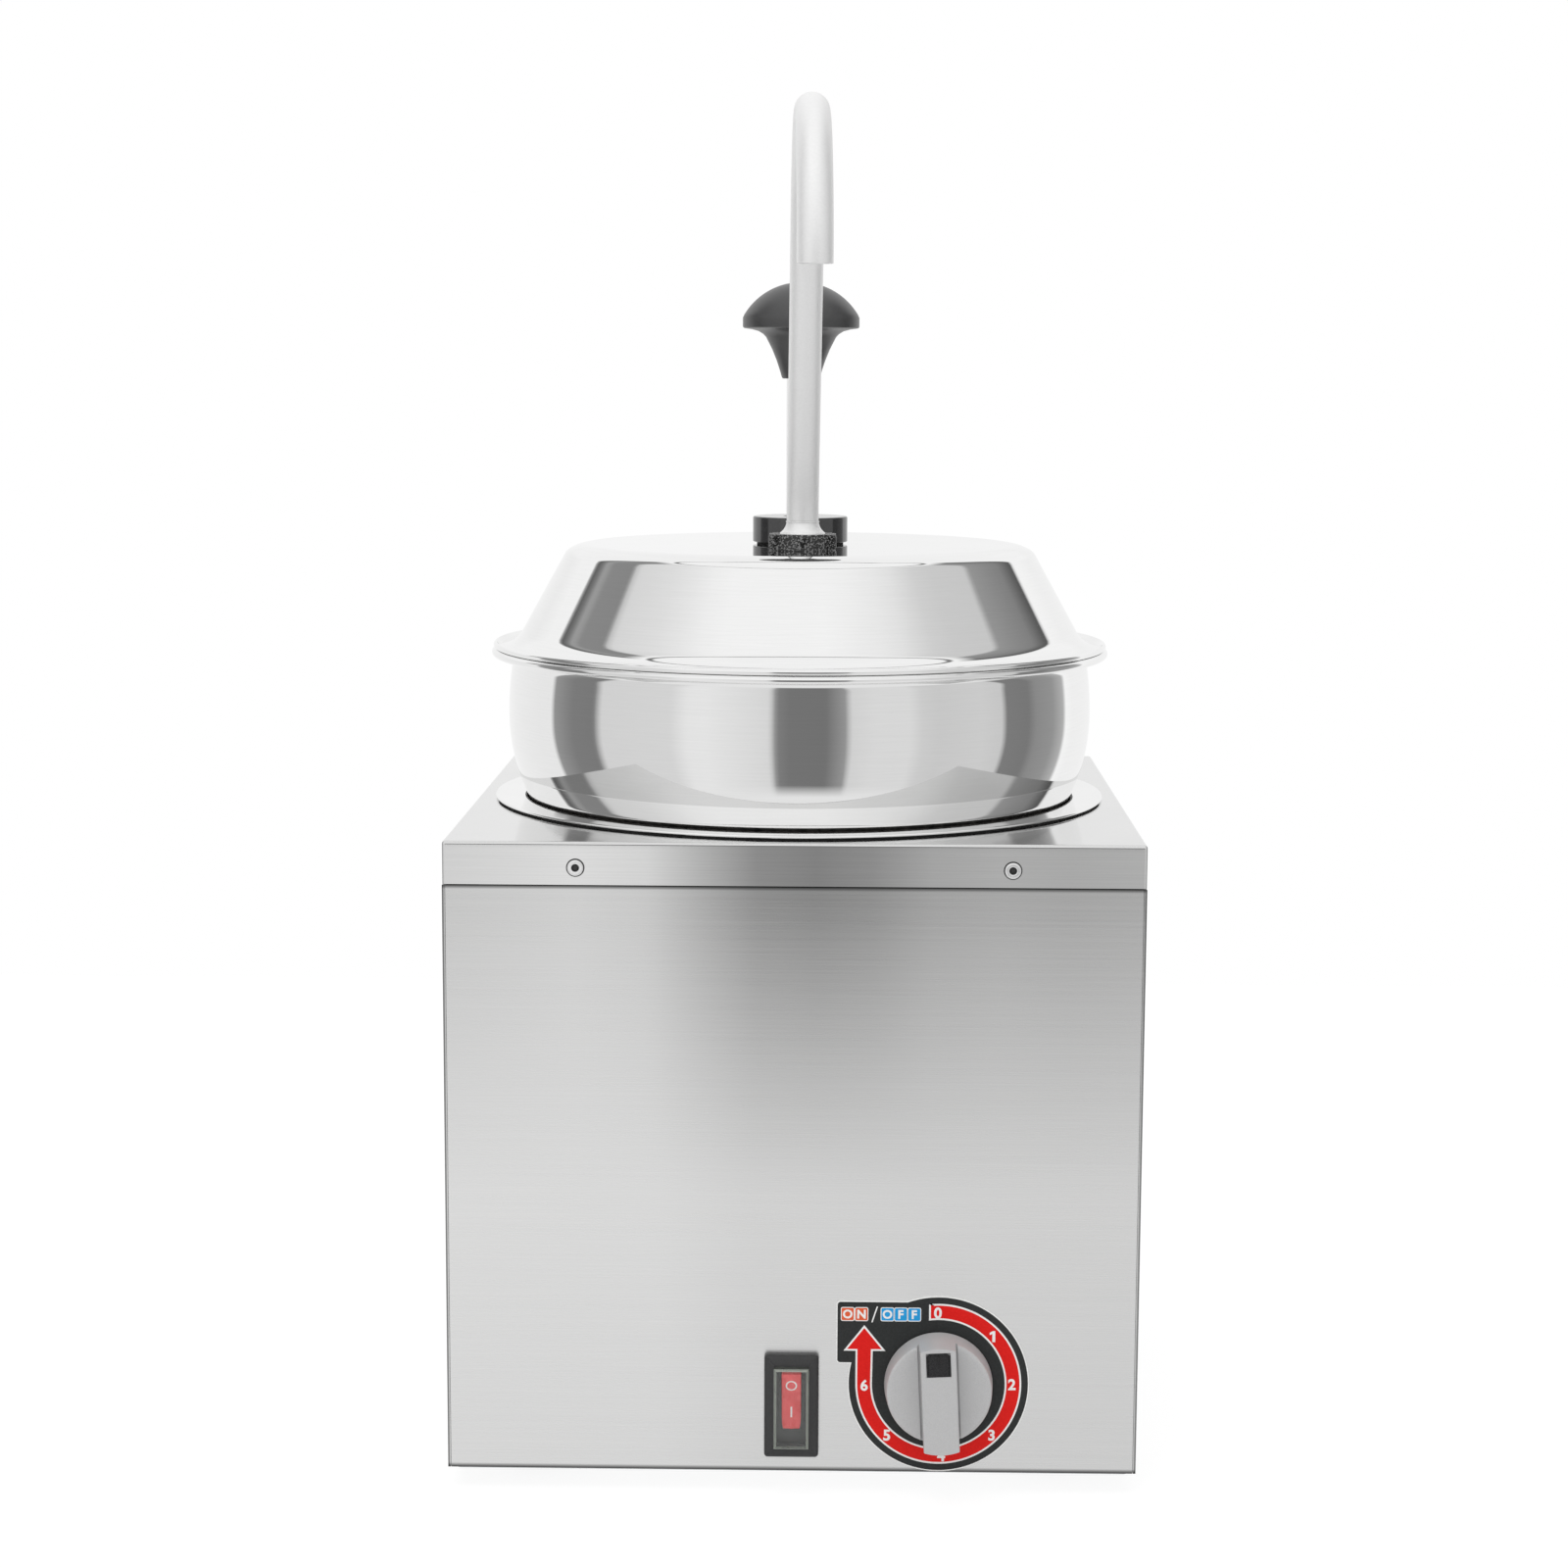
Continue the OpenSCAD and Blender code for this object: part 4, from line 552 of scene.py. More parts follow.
# Well: rim, rounded lip, wall and floor drawn from one sheet of stainless, with a stud for the
# heater welded under it. It hangs in the deck by its rim, on a dark seal, and holds the water.
WELL_DEPTH, WELL_HEEL, LIP_BEND, STUD_R, WELL_SHEET = 135.398, 12, 3, 3, 1
FLOOR_Z = RIM_Z - WELL_DEPTH
LIP_C = (108.27, RIM_Z - LIP_BEND)
WALL_R = LIP_C[0] - LIP_BEND
HEEL_C = (WALL_R - WELL_HEEL, FLOOR_Z + WELL_HEEL)
bright_steel = finish(
    "bright_steel", (0.87, 0.87, 0.868), (0.9, 0.9, 0.898), (0.04, 0.07), 1500, 4,
    stretch=(0.02, 0.02, 1), Metallic=1.0, Anisotropic=0.4, Anisotropic_Rotation=0.25)
outline = [(0, FLOOR_Z), (HEEL_C[0] - 1, FLOOR_Z)] + arc(*HEEL_C, WELL_HEEL, -90, 0, 10)
outline += [(WALL_R, FLOOR_Z + 13), (WALL_R, LIP_C[1] - 1)] + arc(*LIP_C, LIP_BEND, 180, 90, 10)
outline += [(LIP_C[0] + 0.8, RIM_Z), (RIM_R - 1.2, RIM_Z)]
outline += arc(RIM_R - 0.5, RIM_Z - 0.5, 0.5, 90, -90, 6)
outline += [(RIM_R - 1.2, RIM_Z - WELL_SHEET), (LIP_C[0] + 0.8, RIM_Z - WELL_SHEET)]
outline += arc(*LIP_C, LIP_BEND - WELL_SHEET, 90, 180, 8)
outline += [(WALL_R + WELL_SHEET, LIP_C[1] - 1), (WALL_R + WELL_SHEET, FLOOR_Z + 13)]
outline += arc(*HEEL_C, WELL_HEEL + WELL_SHEET, 0, -90, 10)
outline += [(STUD_R, FLOOR_Z - WELL_SHEET), (STUD_R, STUD_FOOT), (0, STUD_FOOT)]
well = lathe("heated_well", outline, steps=192)
fit(well, bright_steel, "cabinet", "bright_steel", "well")

# painted shade on the inside of the lip, and under the pot's shoulder that rests there
lip_gap_shade = finish(
    "lip_gap_shade", (0.02, 0.02, 0.02), (0.07, 0.065, 0.06), (0.35, 0.6), 420, 4, Metallic=0.7)

paint(well, lip_gap_shade, lambda c, n: RIM_Z - 2.5 < c.z < RIM_Z - 0.6 and c.xy.length < LIP_C[0] - 1)
dress(rubber, "well_seal")


# Heater and its guards: an open ring of sheathed element pressed against the well by a zinc
# pan and a nut on the stud, with clips, an over-temperature switch and mineral wool round it.
dress(zinc_plate, "well_clips", "element_pan", "pan_nut")
heater_sheath = finish(
    "heater_sheath", (0.10, 0.09, 0.085), (0.2, 0.18, 0.16), (0.45, 0.65), 500, 4, Metallic=0.8)
dress(heater_sheath, "heating_element")
ceramic = finish("ceramic", (0.7, 0.69, 0.65), (0.8, 0.79, 0.75), (0.4, 0.55), 1500)
dress(ceramic, "limit_switch")
wool = finish(
    "mineral_wool", (0.45, 0.36, 0.14), (0.72, 0.62, 0.34), (0.85, 1.0), 700, 6, stretch=(1, 1, 4),
    relief=(0.0006, 0.8))
dress(wool, "insulation_jacket")


# Thermostat and wiring: a capillary thermostat behind the panel with its bulb under the well,
# a terminal block on the base, and a moulded bushing where the power lead comes in.
dress(ceramic, "thermostat_body", "terminal_block")
dress(zinc_plate, "thermostat_screws", "thermostat_shaft")
copper = finish("copper", (0.62, 0.3, 0.16), (0.8, 0.42, 0.26), (0.25, 0.4), 800, Metallic=1.0)
dress(copper, "sensing_bulb", "capillary")
brass = finish("brass", (0.62, 0.44, 0.16), (0.74, 0.55, 0.24), (0.25, 0.4), 900, Metallic=1.0)
dress(brass, "terminal_screws", "switch_terminals")
black_plastic = finish(
    "black_plastic", (0.018, 0.018, 0.019), (0.032, 0.032, 0.033), (0.3, 0.42), 2400,
    relief=(0.00003, 0.3), Specular_IOR_Level=0.5)
dress(black_plastic, "cord_bushing", "bushing_nut")


# Dial plate: a black printed label plate with a square tab at its upper left. Its scale is a
# red band with a white edge that runs clockwise from 0 and ends in an arrow at the tab.
def print_finish(name, low, high):
    """Screen-printed ink: a flat colour with faint mottling and a dull gloss."""
    return finish(name, low, high, (0.42, 0.55), 1900, Specular_IOR_Level=0.12)


def label(name, points, back, front, edge, face_ink, edge_ink=None):
    """A thin printed piece: an outline of (x, z) in mm filled, thickened, its edge inked."""
    line_through([(x, back, z) for x, z in points])
    bpy.ops.mesh.edge_face_add()
    piece = bpy.context.object
    push(0, front - back, 0)
    if edge:
        bpy.ops.mesh.inset(thickness=edge * MM)
    bpy.ops.mesh.select_all(action="SELECT")
    bpy.ops.mesh.normals_make_consistent(inside=False)
    set_mode("OBJECT")
    piece.name = name
    piece.data.materials.append(face_ink)
    if edge:
        piece.data.materials.append(edge_ink)
        faces = sorted((f for f in piece.data.polygons if f.normal.y < -0.9), key=lambda f: f.area)
        for face in piece.data.polygons:
            face.material_index = 0 if face == faces[-1] or face.normal.y > 0.9 else 1
    return piece


def word(name, text, x, z, tall, bold, back, ink):
    """Raised ink lettering centred at (x, z) in mm, its height in mm, made a mesh."""
    deselect()
    bpy.ops.object.text_add(rotation=(math.pi / 2, 0, 0))
    written = bpy.context.object
    written.name = name
    written.data.body = text
    written.data.size = 0.01
    written.data.offset = bold * MM
    written.data.extrude = 0.00003
    bpy.ops.object.convert(target="MESH")
    settle()
    written = bpy.context.object
    low = Vector([min(v.co[i] for v in written.data.vertices) for i in range(3)])
    high = Vector([max(v.co[i] for v in written.data.vertices) for i in range(3)])
    share = tall * MM / (high.z - low.z)
    bpy.ops.transform.translate(value=-(low + high) / 2)
    settle()
    bpy.ops.transform.resize(value=(share, 1, share))
    bpy.ops.transform.translate(value=Vector((x, back, z)) * MM)
    settle()
    written.data.materials.clear()
    written.data.materials.append(ink)
    return written


def merge_all(name, *pieces):
    """Joins pieces of one kind into a single mesh."""
    deselect()
    for piece in pieces:
        piece.select_set(True)
    bpy.context.view_layer.objects.active = pieces[0]
    bpy.ops.object.join()
    bpy.context.object.name = name
    return bpy.context.object


black_ink = print_finish("black_ink", (0.028, 0.03, 0.03), (0.038, 0.04, 0.04))
white_ink = print_finish("white_ink", (0.9, 0.9, 0.89), (0.95, 0.95, 0.94))
red_ink = print_finish("red_ink", (0.74, 0.012, 0.01), (0.82, 0.018, 0.014))
orange_ink = print_finish("orange_ink", (0.76, 0.11, 0.04), (0.84, 0.14, 0.055))
blue_ink = print_finish("blue_ink", (0.02, 0.33, 0.72), (0.03, 0.38, 0.8))
DIAL_X, DIAL_Z, DIAL_R = 53.1, 41.2, 32.8
PLATE_Y = FRONT - 0.5


def on_dial(points):
    """Moves points from the dial's centre to the object's place."""
    return [(DIAL_X + x, DIAL_Z + z) for x, z in points]


TAB_LEFT, TAB_TOP, TAB_FOOT, TAB_BEND = -37, 30.8, 7.4, 1.5
tab = [(-11.28, TAB_TOP), (TAB_LEFT + TAB_BEND, TAB_TOP)]
tab += arc(TAB_LEFT + TAB_BEND, TAB_TOP - TAB_BEND, TAB_BEND, 90, 180, 5)
tab += arc(TAB_LEFT + TAB_BEND, TAB_FOOT + TAB_BEND, TAB_BEND, 180, 270, 5)
tab += arc(0, 0, DIAL_R, 166.96, 470.1, 150)
plate = label("dial_plate_printed", on_dial(tab[:-1]), FRONT, PLATE_Y, 0.4, black_ink, white_ink)
fit(plate, None, "cabinet", "black_print", "dial_plate")
BAND_R, BAND_BORE, BAND_EDGE, INK = 30, 24, 0.65, 0.04
band = [(-3.6, 23.73), (-3.6, 29.78)] + arc(0, 0, BAND_R, 96.9, -180, 110)
band += [(-30.0, 12.2), (-34.4, 12.2), (-26.9, 21.8), (-19.2, 12.2), (-23.8, 12.2)]
band += arc(0, 0, BAND_BORE, -180, 98.6, 110)
scale_band = label(
    "scale_band", on_dial(band[:-1]), PLATE_Y, PLATE_Y - INK, BAND_EDGE, red_ink, white_ink)
fit(scale_band, None, "cabinet", "red_plastic")
marks = [("0", -0.4, 26.6), ("2", 26.6, 0.1), ("3", 19.5, -19.0),
         ("4", 1.3, -27.0), ("5", -18.5, -19.4), ("6", -26.8, -0.7)]
DIGIT_TALL, DIGIT_BOLD = 4.2, 0.32
digits = [word(f"scale_{m}", m, DIAL_X + x, DIAL_Z + z, DIGIT_TALL, DIGIT_BOLD, PLATE_Y - 0.05,
               white_ink) for m, x, z in marks]
one = [(-0.2, -2.05), (0.85, -2.05), (0.85, 2.05), (-0.05, 2.05), (-1.15, 1.4), (-1.15, 0.55),
       (-0.2, 0.95)]
digits.append(label("scale_1", on_dial([(19.5 + x, 18.0 + z) for x, z in one]),
                    PLATE_Y, PLATE_Y - 2 * INK, 0, white_ink))
numerals = merge_all("scale_numerals", *digits)
fit(numerals, None, "cabinet", "white_plastic")


def tile(name, x, ink):
    """A small round-cornered printed tile with a white edge, centred at a place in its row."""
    w, h = TILE_W / 2 - TILE_CORNER, TILE_H / 2 - TILE_CORNER
    corners = []
    for i, (right, up) in enumerate(((1, 1), (-1, 1), (-1, -1), (1, -1))):
        corners += arc(x + right * w, TILE_Z + up * h, TILE_CORNER, 90 * i, 90 * i + 90, 4)
    return label(name, on_dial(corners), PLATE_Y, PLATE_Y - INK, 0.3, ink, white_ink)


TILE_W, TILE_H, TILE_CORNER, TILE_Z = 4.95, 5.2, 0.7, 25.9
tiles, letters = [], []
for i, (letter, x, ink) in enumerate((("O", -32.95, orange_ink), ("N", -27.95, orange_ink),
                                      ("O", -18.6, blue_ink), ("F", -13.75, blue_ink),
                                      ("F", -8.9, blue_ink))):
    tiles.append(tile(f"tile_{i}", x, ink))
    letters.append(word(f"tile_letter_{i}", letter, DIAL_X + x, DIAL_Z + TILE_Z, 3.3, 0.35,
                        PLATE_Y - 0.06, white_ink))
slash = [(-24.4, 22.9), (-23.9, 22.9), (-22.0, 28.8), (-22.5, 28.8)]
letters.append(label("slash", on_dial(slash), PLATE_Y, PLATE_Y - 0.05, 0, white_ink))
fit(merge_all("on_tiles", *tiles[:2]), None, "cabinet", "red_plastic")
fit(merge_all("off_tiles", *tiles[2:]), None, "cabinet", "black_print")
fit(merge_all("tile_letters", *letters), None, "cabinet", "white_plastic")


# Dial knob: silver-painted moulded plastic on the thermostat's shaft, a hollow skirt with a
# high grip across it, a fine groove each side of the grip and a black insert near its top.
KNOB_Y, FACE_Y, GRIP_Y = FRONT - 1.3, FRONT - 10.5, FRONT - 20.5
KNOB_R, GRIP_W = 19.6, 12.8
silver_plastic = finish(
    "silver_plastic", (0.5, 0.5, 0.503), (0.57, 0.57, 0.573), (0.4, 0.5), 3400, 2,
    relief=(0.00002, 0.25), Metallic=0.15)
skirt_outline = raised(FACE_Y, [
    (0, 0.5), (9, 0.35), (14, 0.1), (17.2, 0), (18.3, 0.08), (18.75, 0.35), (18.93, 0.8), (19.05, 1.6)])
skirt_outline += raised(KNOB_Y, [
    (KNOB_R - 0.05, -1), (KNOB_R, 0), (17.5, 0), (17.5, -5.2), (6.3, -5.2), (6.3, 0), (3.1, 0),
    (3.1, -8.6), (0, -8.6)])
skirt = lathe("knob_skirt", skirt_outline, (DIAL_X, DIAL_Z), "Y", 144, 40)
grip = block("knob_grip", (DIAL_X - GRIP_W / 2, GRIP_Y, DIAL_Z - 22),
             (DIAL_X + GRIP_W / 2, FACE_Y + 3, DIAL_Z + 22))
soften(grip, 0.5, 3)
carve(grip, drum("grip_tool", (DIAL_X, DIAL_Z), KNOB_R, GRIP_Y, FACE_Y + 4, "Y", 144), "INTERSECT")
for side in (-1, 1):
    groove = DIAL_X + side * (GRIP_W / 2 + 0.4)
    carve(skirt, block("groove_tool", (groove - 0.45, FACE_Y - 1, DIAL_Z - 25),
                       (groove + 0.45, FACE_Y + 1.3, DIAL_Z + 25)))
carve(skirt, grip, "UNION")
INSERT_W, INSERT_Z = 8.6, DIAL_Z + 9.4
carve(skirt, block("pocket_tool", (DIAL_X - INSERT_W / 2 - 0.1, GRIP_Y - 1, INSERT_Z - 0.1),
                   (DIAL_X + INSERT_W / 2 + 0.1, GRIP_Y + 1, INSERT_Z + INSERT_W + 0.1)))
smooth(skirt, 35, weigh=True)
skirt.name = "dial_knob_moulding"
KNOB_TURN, DIAL_AXIS = math.radians(2.7), (DIAL_X, FACE_Y, DIAL_Z)
turn_piece(skirt, KNOB_TURN, "Y", DIAL_AXIS)
fit(skirt, silver_plastic, "dial", "silver_plastic", "dial_knob")


# Insert: a small gloss black square of plastic pressed into the grip, its upper corners cut
# off and its face sunk round an upright mark.
insert_black = finish(
    "insert_black", (0.008, 0.008, 0.009), (0.018, 0.018, 0.019), (0.2, 0.35), 3000,
    Specular_IOR_Level=0.3)
insert = block("grip_insert", (DIAL_X - INSERT_W / 2, GRIP_Y - 0.12, INSERT_Z),
               (DIAL_X + INSERT_W / 2, GRIP_Y + 0.95, INSERT_Z + INSERT_W))
pick(insert, "EDGE", lambda c, d: abs(d.y) > 0.9 and c.z > INSERT_Z + INSERT_W / 2)
bpy.ops.mesh.bevel(offset=1.3 * MM, segments=1)
pick(insert, "FACE", lambda c, n: n.y < -0.9)
bpy.ops.mesh.inset(thickness=0.45 * MM)
bpy.ops.mesh.inset(thickness=0.3 * MM, depth=-0.35 * MM)
set_mode("OBJECT")
mark = block("insert_mark", (DIAL_X - 0.35, GRIP_Y - 0.1, INSERT_Z + 4.2),
             (DIAL_X + 0.35, GRIP_Y + 0.6, INSERT_Z + 7.4))
soften(mark, 0.15, 2)
insert = merge_all("grip_insert", insert, mark)
smooth(insert)
turn_piece(insert, KNOB_TURN, "Y", DIAL_AXIS)
fit(insert, insert_black, "dial", "black_plastic", "dial_insert")


# Switch housing: a moulded black bezel with rounded shoulders, its body pushed through the
# panel and clipped behind it. The rocker hangs in a slot at the bottom of its opening.
SWITCH_Z, ROCKER_Z = 33.1, 35.1
bezel_low, bezel_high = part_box("switch_housing")
BEZEL_W, BEZEL_H = bezel_high.x / MM, (bezel_high.z - bezel_low.z) / MM / 2
BEZEL_FRONT = FRONT - 3.5
bezel = block("switch_bezel", (-BEZEL_W, BEZEL_FRONT, SWITCH_Z - BEZEL_H),
              (BEZEL_W, FRONT, SWITCH_Z + BEZEL_H))
pick(bezel, "EDGE", lambda c, d: abs(d.y) > 0.9)
bpy.ops.mesh.bevel(offset=1.3 * MM, segments=5)
pick(bezel, "EDGE", lambda c, d: c.y < BEZEL_FRONT + 0.1)
bpy.ops.mesh.bevel(offset=1.7 * MM, segments=6, profile=0.6)
pick(bezel, "FACE", lambda c, n: n.y < -0.99 and c.y < BEZEL_FRONT + 0.1)
bpy.ops.mesh.inset(thickness=0.4 * MM)


def hole_down(wide, tall, middle, deep):
    """Insets the face in hand to an opening of a size, then pushes it in along Y."""
    bpy.ops.mesh.inset(thickness=0.1 * MM)
    set_mode("OBJECT")
    held = [v for v in bezel.data.vertices if v.select]
    low = [min(v.co[i] for v in held) for i in (0, 2)]
    high = [max(v.co[i] for v in held) for i in (0, 2)]
    set_mode("EDIT")
    share = (wide * MM / (high[0] - low[0]), 1, tall * MM / (high[1] - low[1]))
    spot = (0, 0, (high[1] + low[1]) / 2)
    bpy.ops.transform.resize(value=share, center_override=spot)
    bpy.ops.transform.translate(value=(0, 0, middle * MM - spot[2]))
    bpy.ops.mesh.inset(thickness=0.25 * MM, depth=-0.25 * MM)
    push(0, deep, 0)


hole_down(13.4, 30.7, SWITCH_Z, 2.2)
hole_down(7.9, 24.7, ROCKER_Z, 9.5)
set_mode("OBJECT")
BODY_W, BODY_H = 6.7, 15.4
body = block("switch_body", (-BODY_W, FRONT + 8.6, SWITCH_Z - BODY_H),
             (BODY_W, FRONT + 21, SWITCH_Z + BODY_H))
soften(body, 0.4, 2)
sleeve = block("switch_sleeve", (-BODY_W, FRONT - 0.9, SWITCH_Z - BODY_H),
               (BODY_W, FRONT + 8.8, SWITCH_Z + BODY_H))
pick(sleeve, "FACE", lambda c, n: n.y < -0.9)
bpy.ops.mesh.inset(thickness=1.5 * MM)
push(0, 9.4, 0)
set_mode("OBJECT")
bezel = merge_all("switch_bezel", bezel, sleeve, body)
smooth(bezel, weigh=True)
fit(bezel, black_plastic, "cabinet", "black_plastic", "switch_housing")


# Rocker: moulded in red translucent plastic, a shallow V with its lower half pressed in, the
# off ring on its upper half, the on bar on its lower half and a moulded outline under each.
TILT = math.radians(9)
PIVOT = Vector((0, FRONT + 0.1, ROCKER_Z))
# the faint red emission is a painted glow, standing for light that passes through the plastic
red_plastic = finish(
    "red_plastic", (0.6, 0.045, 0.05), (0.72, 0.075, 0.08), (0.22, 0.32), 240,
    Specular_IOR_Level=0.5, Emission_Color=(1, 0.1, 0.1, 1), Emission_Strength=0.12)
FACE_OUT, FACE_RISE, FACE_LONG, SIGN_TALL = 2.4, 1.2, 11.4, 0.02
side_view = [(1.2, -9.2), (1.2, 9.2), (-1.2, 11.5), (-FACE_OUT - FACE_RISE, FACE_LONG), (-3.05, 5.6)]
side_view += [(-FACE_OUT, 0), (-3.05, -5.6), (-FACE_OUT - FACE_RISE, -FACE_LONG), (-1.2, -11.5)]
line_through([(-3.5, PIVOT.y + y, PIVOT.z + z) for y, z in side_view])
bpy.ops.mesh.edge_face_add()
push(7, 0, 0)
rocker = close_up("rocker_moulding")
soften(rocker, 0.3, 3, 23)
axle = drum("rocker_axle", (0, 0), 1, -4.7, 4.7, sides=24)
turn_piece(axle, math.pi / 2, "Y")
bpy.ops.transform.translate(value=PIVOT * MM)
settle()
rocker = merge_all("rocker_moulding", rocker, axle)


def on_rocker(piece, along):
    """Lays a flat mark, drawn at the origin facing -Y, on the rocker's face at a height."""
    out = FACE_OUT + FACE_RISE * abs(along) / FACE_LONG + SIGN_TALL
    turn_piece(piece, -math.copysign(math.atan2(FACE_RISE, FACE_LONG), along), "X")
    bpy.ops.transform.translate(value=(0, (PIVOT.y - out) * MM, (PIVOT.z + along) * MM))
    settle()
    return piece


ring = on_rocker(lathe("off_ring", [(1.55, 0), (1.55, -0.06), (2.05, -0.06), (2.05, 0), (1.55, 0)],
                       (0, 0), "Y", 48), 6.7)
bar = on_rocker(block("on_bar", (-0.3, -0.06, -2.0), (0.3, 0, 2.0)), -4.0)
signs = merge_all("rocker_signs", ring, bar)
frames = []
for along in (2.6, -8.8):
    outer = block("sign_frame", (-0.75, -0.08, -1.6), (0.75, 0, 1.6))
    pick(outer, "FACE", lambda c, n: n.y < -0.9)
    bpy.ops.mesh.inset(thickness=0.22 * MM)
    bpy.ops.transform.translate(value=(0, 0.07 * MM, 0))
    set_mode("OBJECT")
    frames.append(on_rocker(outer, along))
rocker = merge_all("rocker_moulding", rocker, *frames)
for piece in (rocker, signs):
    turn_piece(piece, -TILT, "X", PIVOT)
smooth(rocker)
fit(rocker, red_plastic, "rocker", "red_plastic", "switch_rocker")
fit(signs, white_ink, "rocker", "white_plastic")


# Clear cap: a soft clear boot moulded with bevelled front edges, held in the bezel's opening,
# which keeps splashes off the rocker. Its walls are painted a darker shade and its bevels a
# painted highlight, lighter than its face.
def clear_finish(name, colour, alpha):
    """See-through plastic with faint smears."""
    return finish(name, colour, tuple(c * 1.15 for c in colour), (0.06, 0.14), 160,
                  IOR=1.46, Alpha=alpha, Specular_IOR_Level=0.25)


clear_face = clear_finish("clear_face", (0.6, 0.62, 0.6), 0.06)
clear_wall_shade = clear_finish("clear_wall_shade", (0.1, 0.11, 0.095), 0.5)
clear_bevel_highlight = clear_finish("clear_bevel_highlight", (0.5, 0.54, 0.48), 0.4)
CAP_W, CAP_H, CAP_FRONT = 6.35, 15, FRONT - 7
cap = block("cap_shell", (-CAP_W, CAP_FRONT, SWITCH_Z - CAP_H), (CAP_W, FRONT - 1, SWITCH_Z + CAP_H))
pick(cap, "FACE", lambda c, n: n.y > 0.9)
bpy.ops.mesh.delete(type="FACE")
pick(cap, "EDGE", lambda c, d: c.y < CAP_FRONT + 0.1)
bpy.ops.mesh.bevel(offset=0.8 * MM, segments=1)
run_modifier(cap, "SOLIDIFY", thickness=0.8 * MM, offset=-1)
soften(cap, 0.12, 2, 23)
smooth(cap, weigh=True)
fit(cap, clear_face, "cabinet", "clear_plastic", "switch_cap")
# the walls take the painted shade, the bevels the painted highlight
paint(cap, clear_wall_shade, lambda c, n: abs(n.y) < 0.1)
paint(cap, clear_bevel_highlight, lambda c, n: 0.1 <= abs(n.y) <= 0.95)


# Inset pot: spun from one disc of polished stainless, bulged above the deck and straight below
# it, its rim hemmed round. Its shoulder rests on the lip of the well.
def heights(name):
    """The foot and the top of a solid, in mm."""
    return [corner.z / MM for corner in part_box(name)]


POT_FLOOR, POT_Z = heights("pot")
BELLY_Z = POT_Z - 25.4
SUMP_R, BELLY_R, POT_RIM_R = 96.97, 113.4, 119.9
SUMP_BEND, STEP_BEND, SHOULDER_BEND, LOW_BEND, HIGH_BEND, NECK_BEND = 14, 3, 9, 75, 132, 5
SHOULDER_C, SHOULDER_A = (98.657, BELLY_Z - 26.928), 24.079
spun_steel = finish(
    "spun_steel", (0.875, 0.875, 0.873), (0.9, 0.9, 0.898), (0.03, 0.05), 1700, 5,
    stretch=(0.03, 0.03, 1), Metallic=1.0, Anisotropic=0.5, Anisotropic_Rotation=0.25)


def pot_wall(t):
    """The pot's wall from its floor to its neck, drawn in by t."""
    reach = SHOULDER_BEND + STEP_BEND
    step_x = SUMP_R + STEP_BEND - SHOULDER_C[0] - reach * math.cos(math.radians(-75))
    step_z = SHOULDER_C[1] + reach * math.sin(math.radians(-75)) + step_x * math.tan(math.radians(15))
    neck_z = POT_Z - 1 - NECK_BEND
    neck_a = math.degrees(math.asin((neck_z - BELLY_Z) / HIGH_BEND))
    neck = BELLY_R - HIGH_BEND * (1 - math.cos(math.radians(neck_a)))
    wall = [(0, POT_FLOOR + t), (SUMP_R - 15, POT_FLOOR + t)]
    wall += arc(SUMP_R - SUMP_BEND, POT_FLOOR + SUMP_BEND, SUMP_BEND - t, -90, 0, 10)
    wall += [(SUMP_R - t, POT_FLOOR + 15), (SUMP_R - t, step_z - 1)]
    wall += arc(SUMP_R + STEP_BEND, step_z, STEP_BEND + t, 180, 105, 6)
    wall += arc(*SHOULDER_C, SHOULDER_BEND - t, -75, -SHOULDER_A, 12)
    wall += arc(BELLY_R - LOW_BEND, BELLY_Z, LOW_BEND - t, -SHOULDER_A, 0, 20)[1:]
    wall += arc(BELLY_R - HIGH_BEND, BELLY_Z, HIGH_BEND - t, 0, neck_a, 12)[1:]
    wall += arc(neck + NECK_BEND, neck_z, NECK_BEND + t, 180, 90, 10)[1:]
    return wall


outline = pot_wall(0) + [(POT_RIM_R - 3.6, POT_Z - 1)]
outline += arc(POT_RIM_R - 1.55, POT_Z - 1.55, 1.55, -150, 90, 18) + pot_wall(1)[::-1]
pot = lathe("inset_pot", outline, steps=192, angle=50)
fit(pot, spun_steel, "pot", "polished_steel", "pot")
# painted shade on the underside of the shoulder, where it rests in the well's lip
paint(pot, lip_gap_shade, lambda c, n: -9 < c.z - SHOULDER_C[1] < 2 and n.z < -0.42)


# Lid: spun from the same sheet, a flat top, a tight shoulder, a steep cone and a flat hemmed
# rim that lies on the pot's. Two holes are punched in the top for the pump.
LID_GAP = 0.03
LID_Z, LID_TOP = POT_Z + LID_GAP, heights("lid")[1]
LID_BORE, CROWN_R, EDGE_R, FOOT_R = 15.1, 16, 5, 10
NUT = (1.466, -41.974)


def lid_wall(t):
    """The lid's sheet from the pump's hole to the foot of its cone, drawn in by t."""
    wall = [(LID_BORE, LID_TOP - t), (80.4, LID_TOP - t)]
    wall += arc(81.61, LID_TOP - CROWN_R, CROWN_R - t, 90, 60, 10)
    wall += arc(87.11, LID_TOP - 6.472, EDGE_R - t, 60, 29, 8)[1:]
    foot = arc(116.8, LID_Z + 1 + FOOT_R, FOOT_R + t, 209, 270, 14)
    last = wall[-1]
    wall += [(last[0] + 0.53, last[1] - 0.95), (foot[0][0] - 0.53, foot[0][1] + 0.95)]
    return wall + foot


outline = lid_wall(0) + arc(118, LID_Z + 1.2, 1.2, 90, -90, 12) + lid_wall(1)[::-1]
lid = lathe("pump_lid", outline + outline[:1], steps=192, angle=40)
NUT_BORE = 10.7
carve(lid, drum("nut_hole_tool", NUT, NUT_BORE, LID_TOP - 3, LID_TOP + 3, sides=64))
smooth(lid, 40)
fit(lid, spun_steel, "lid", "polished_steel", "lid")


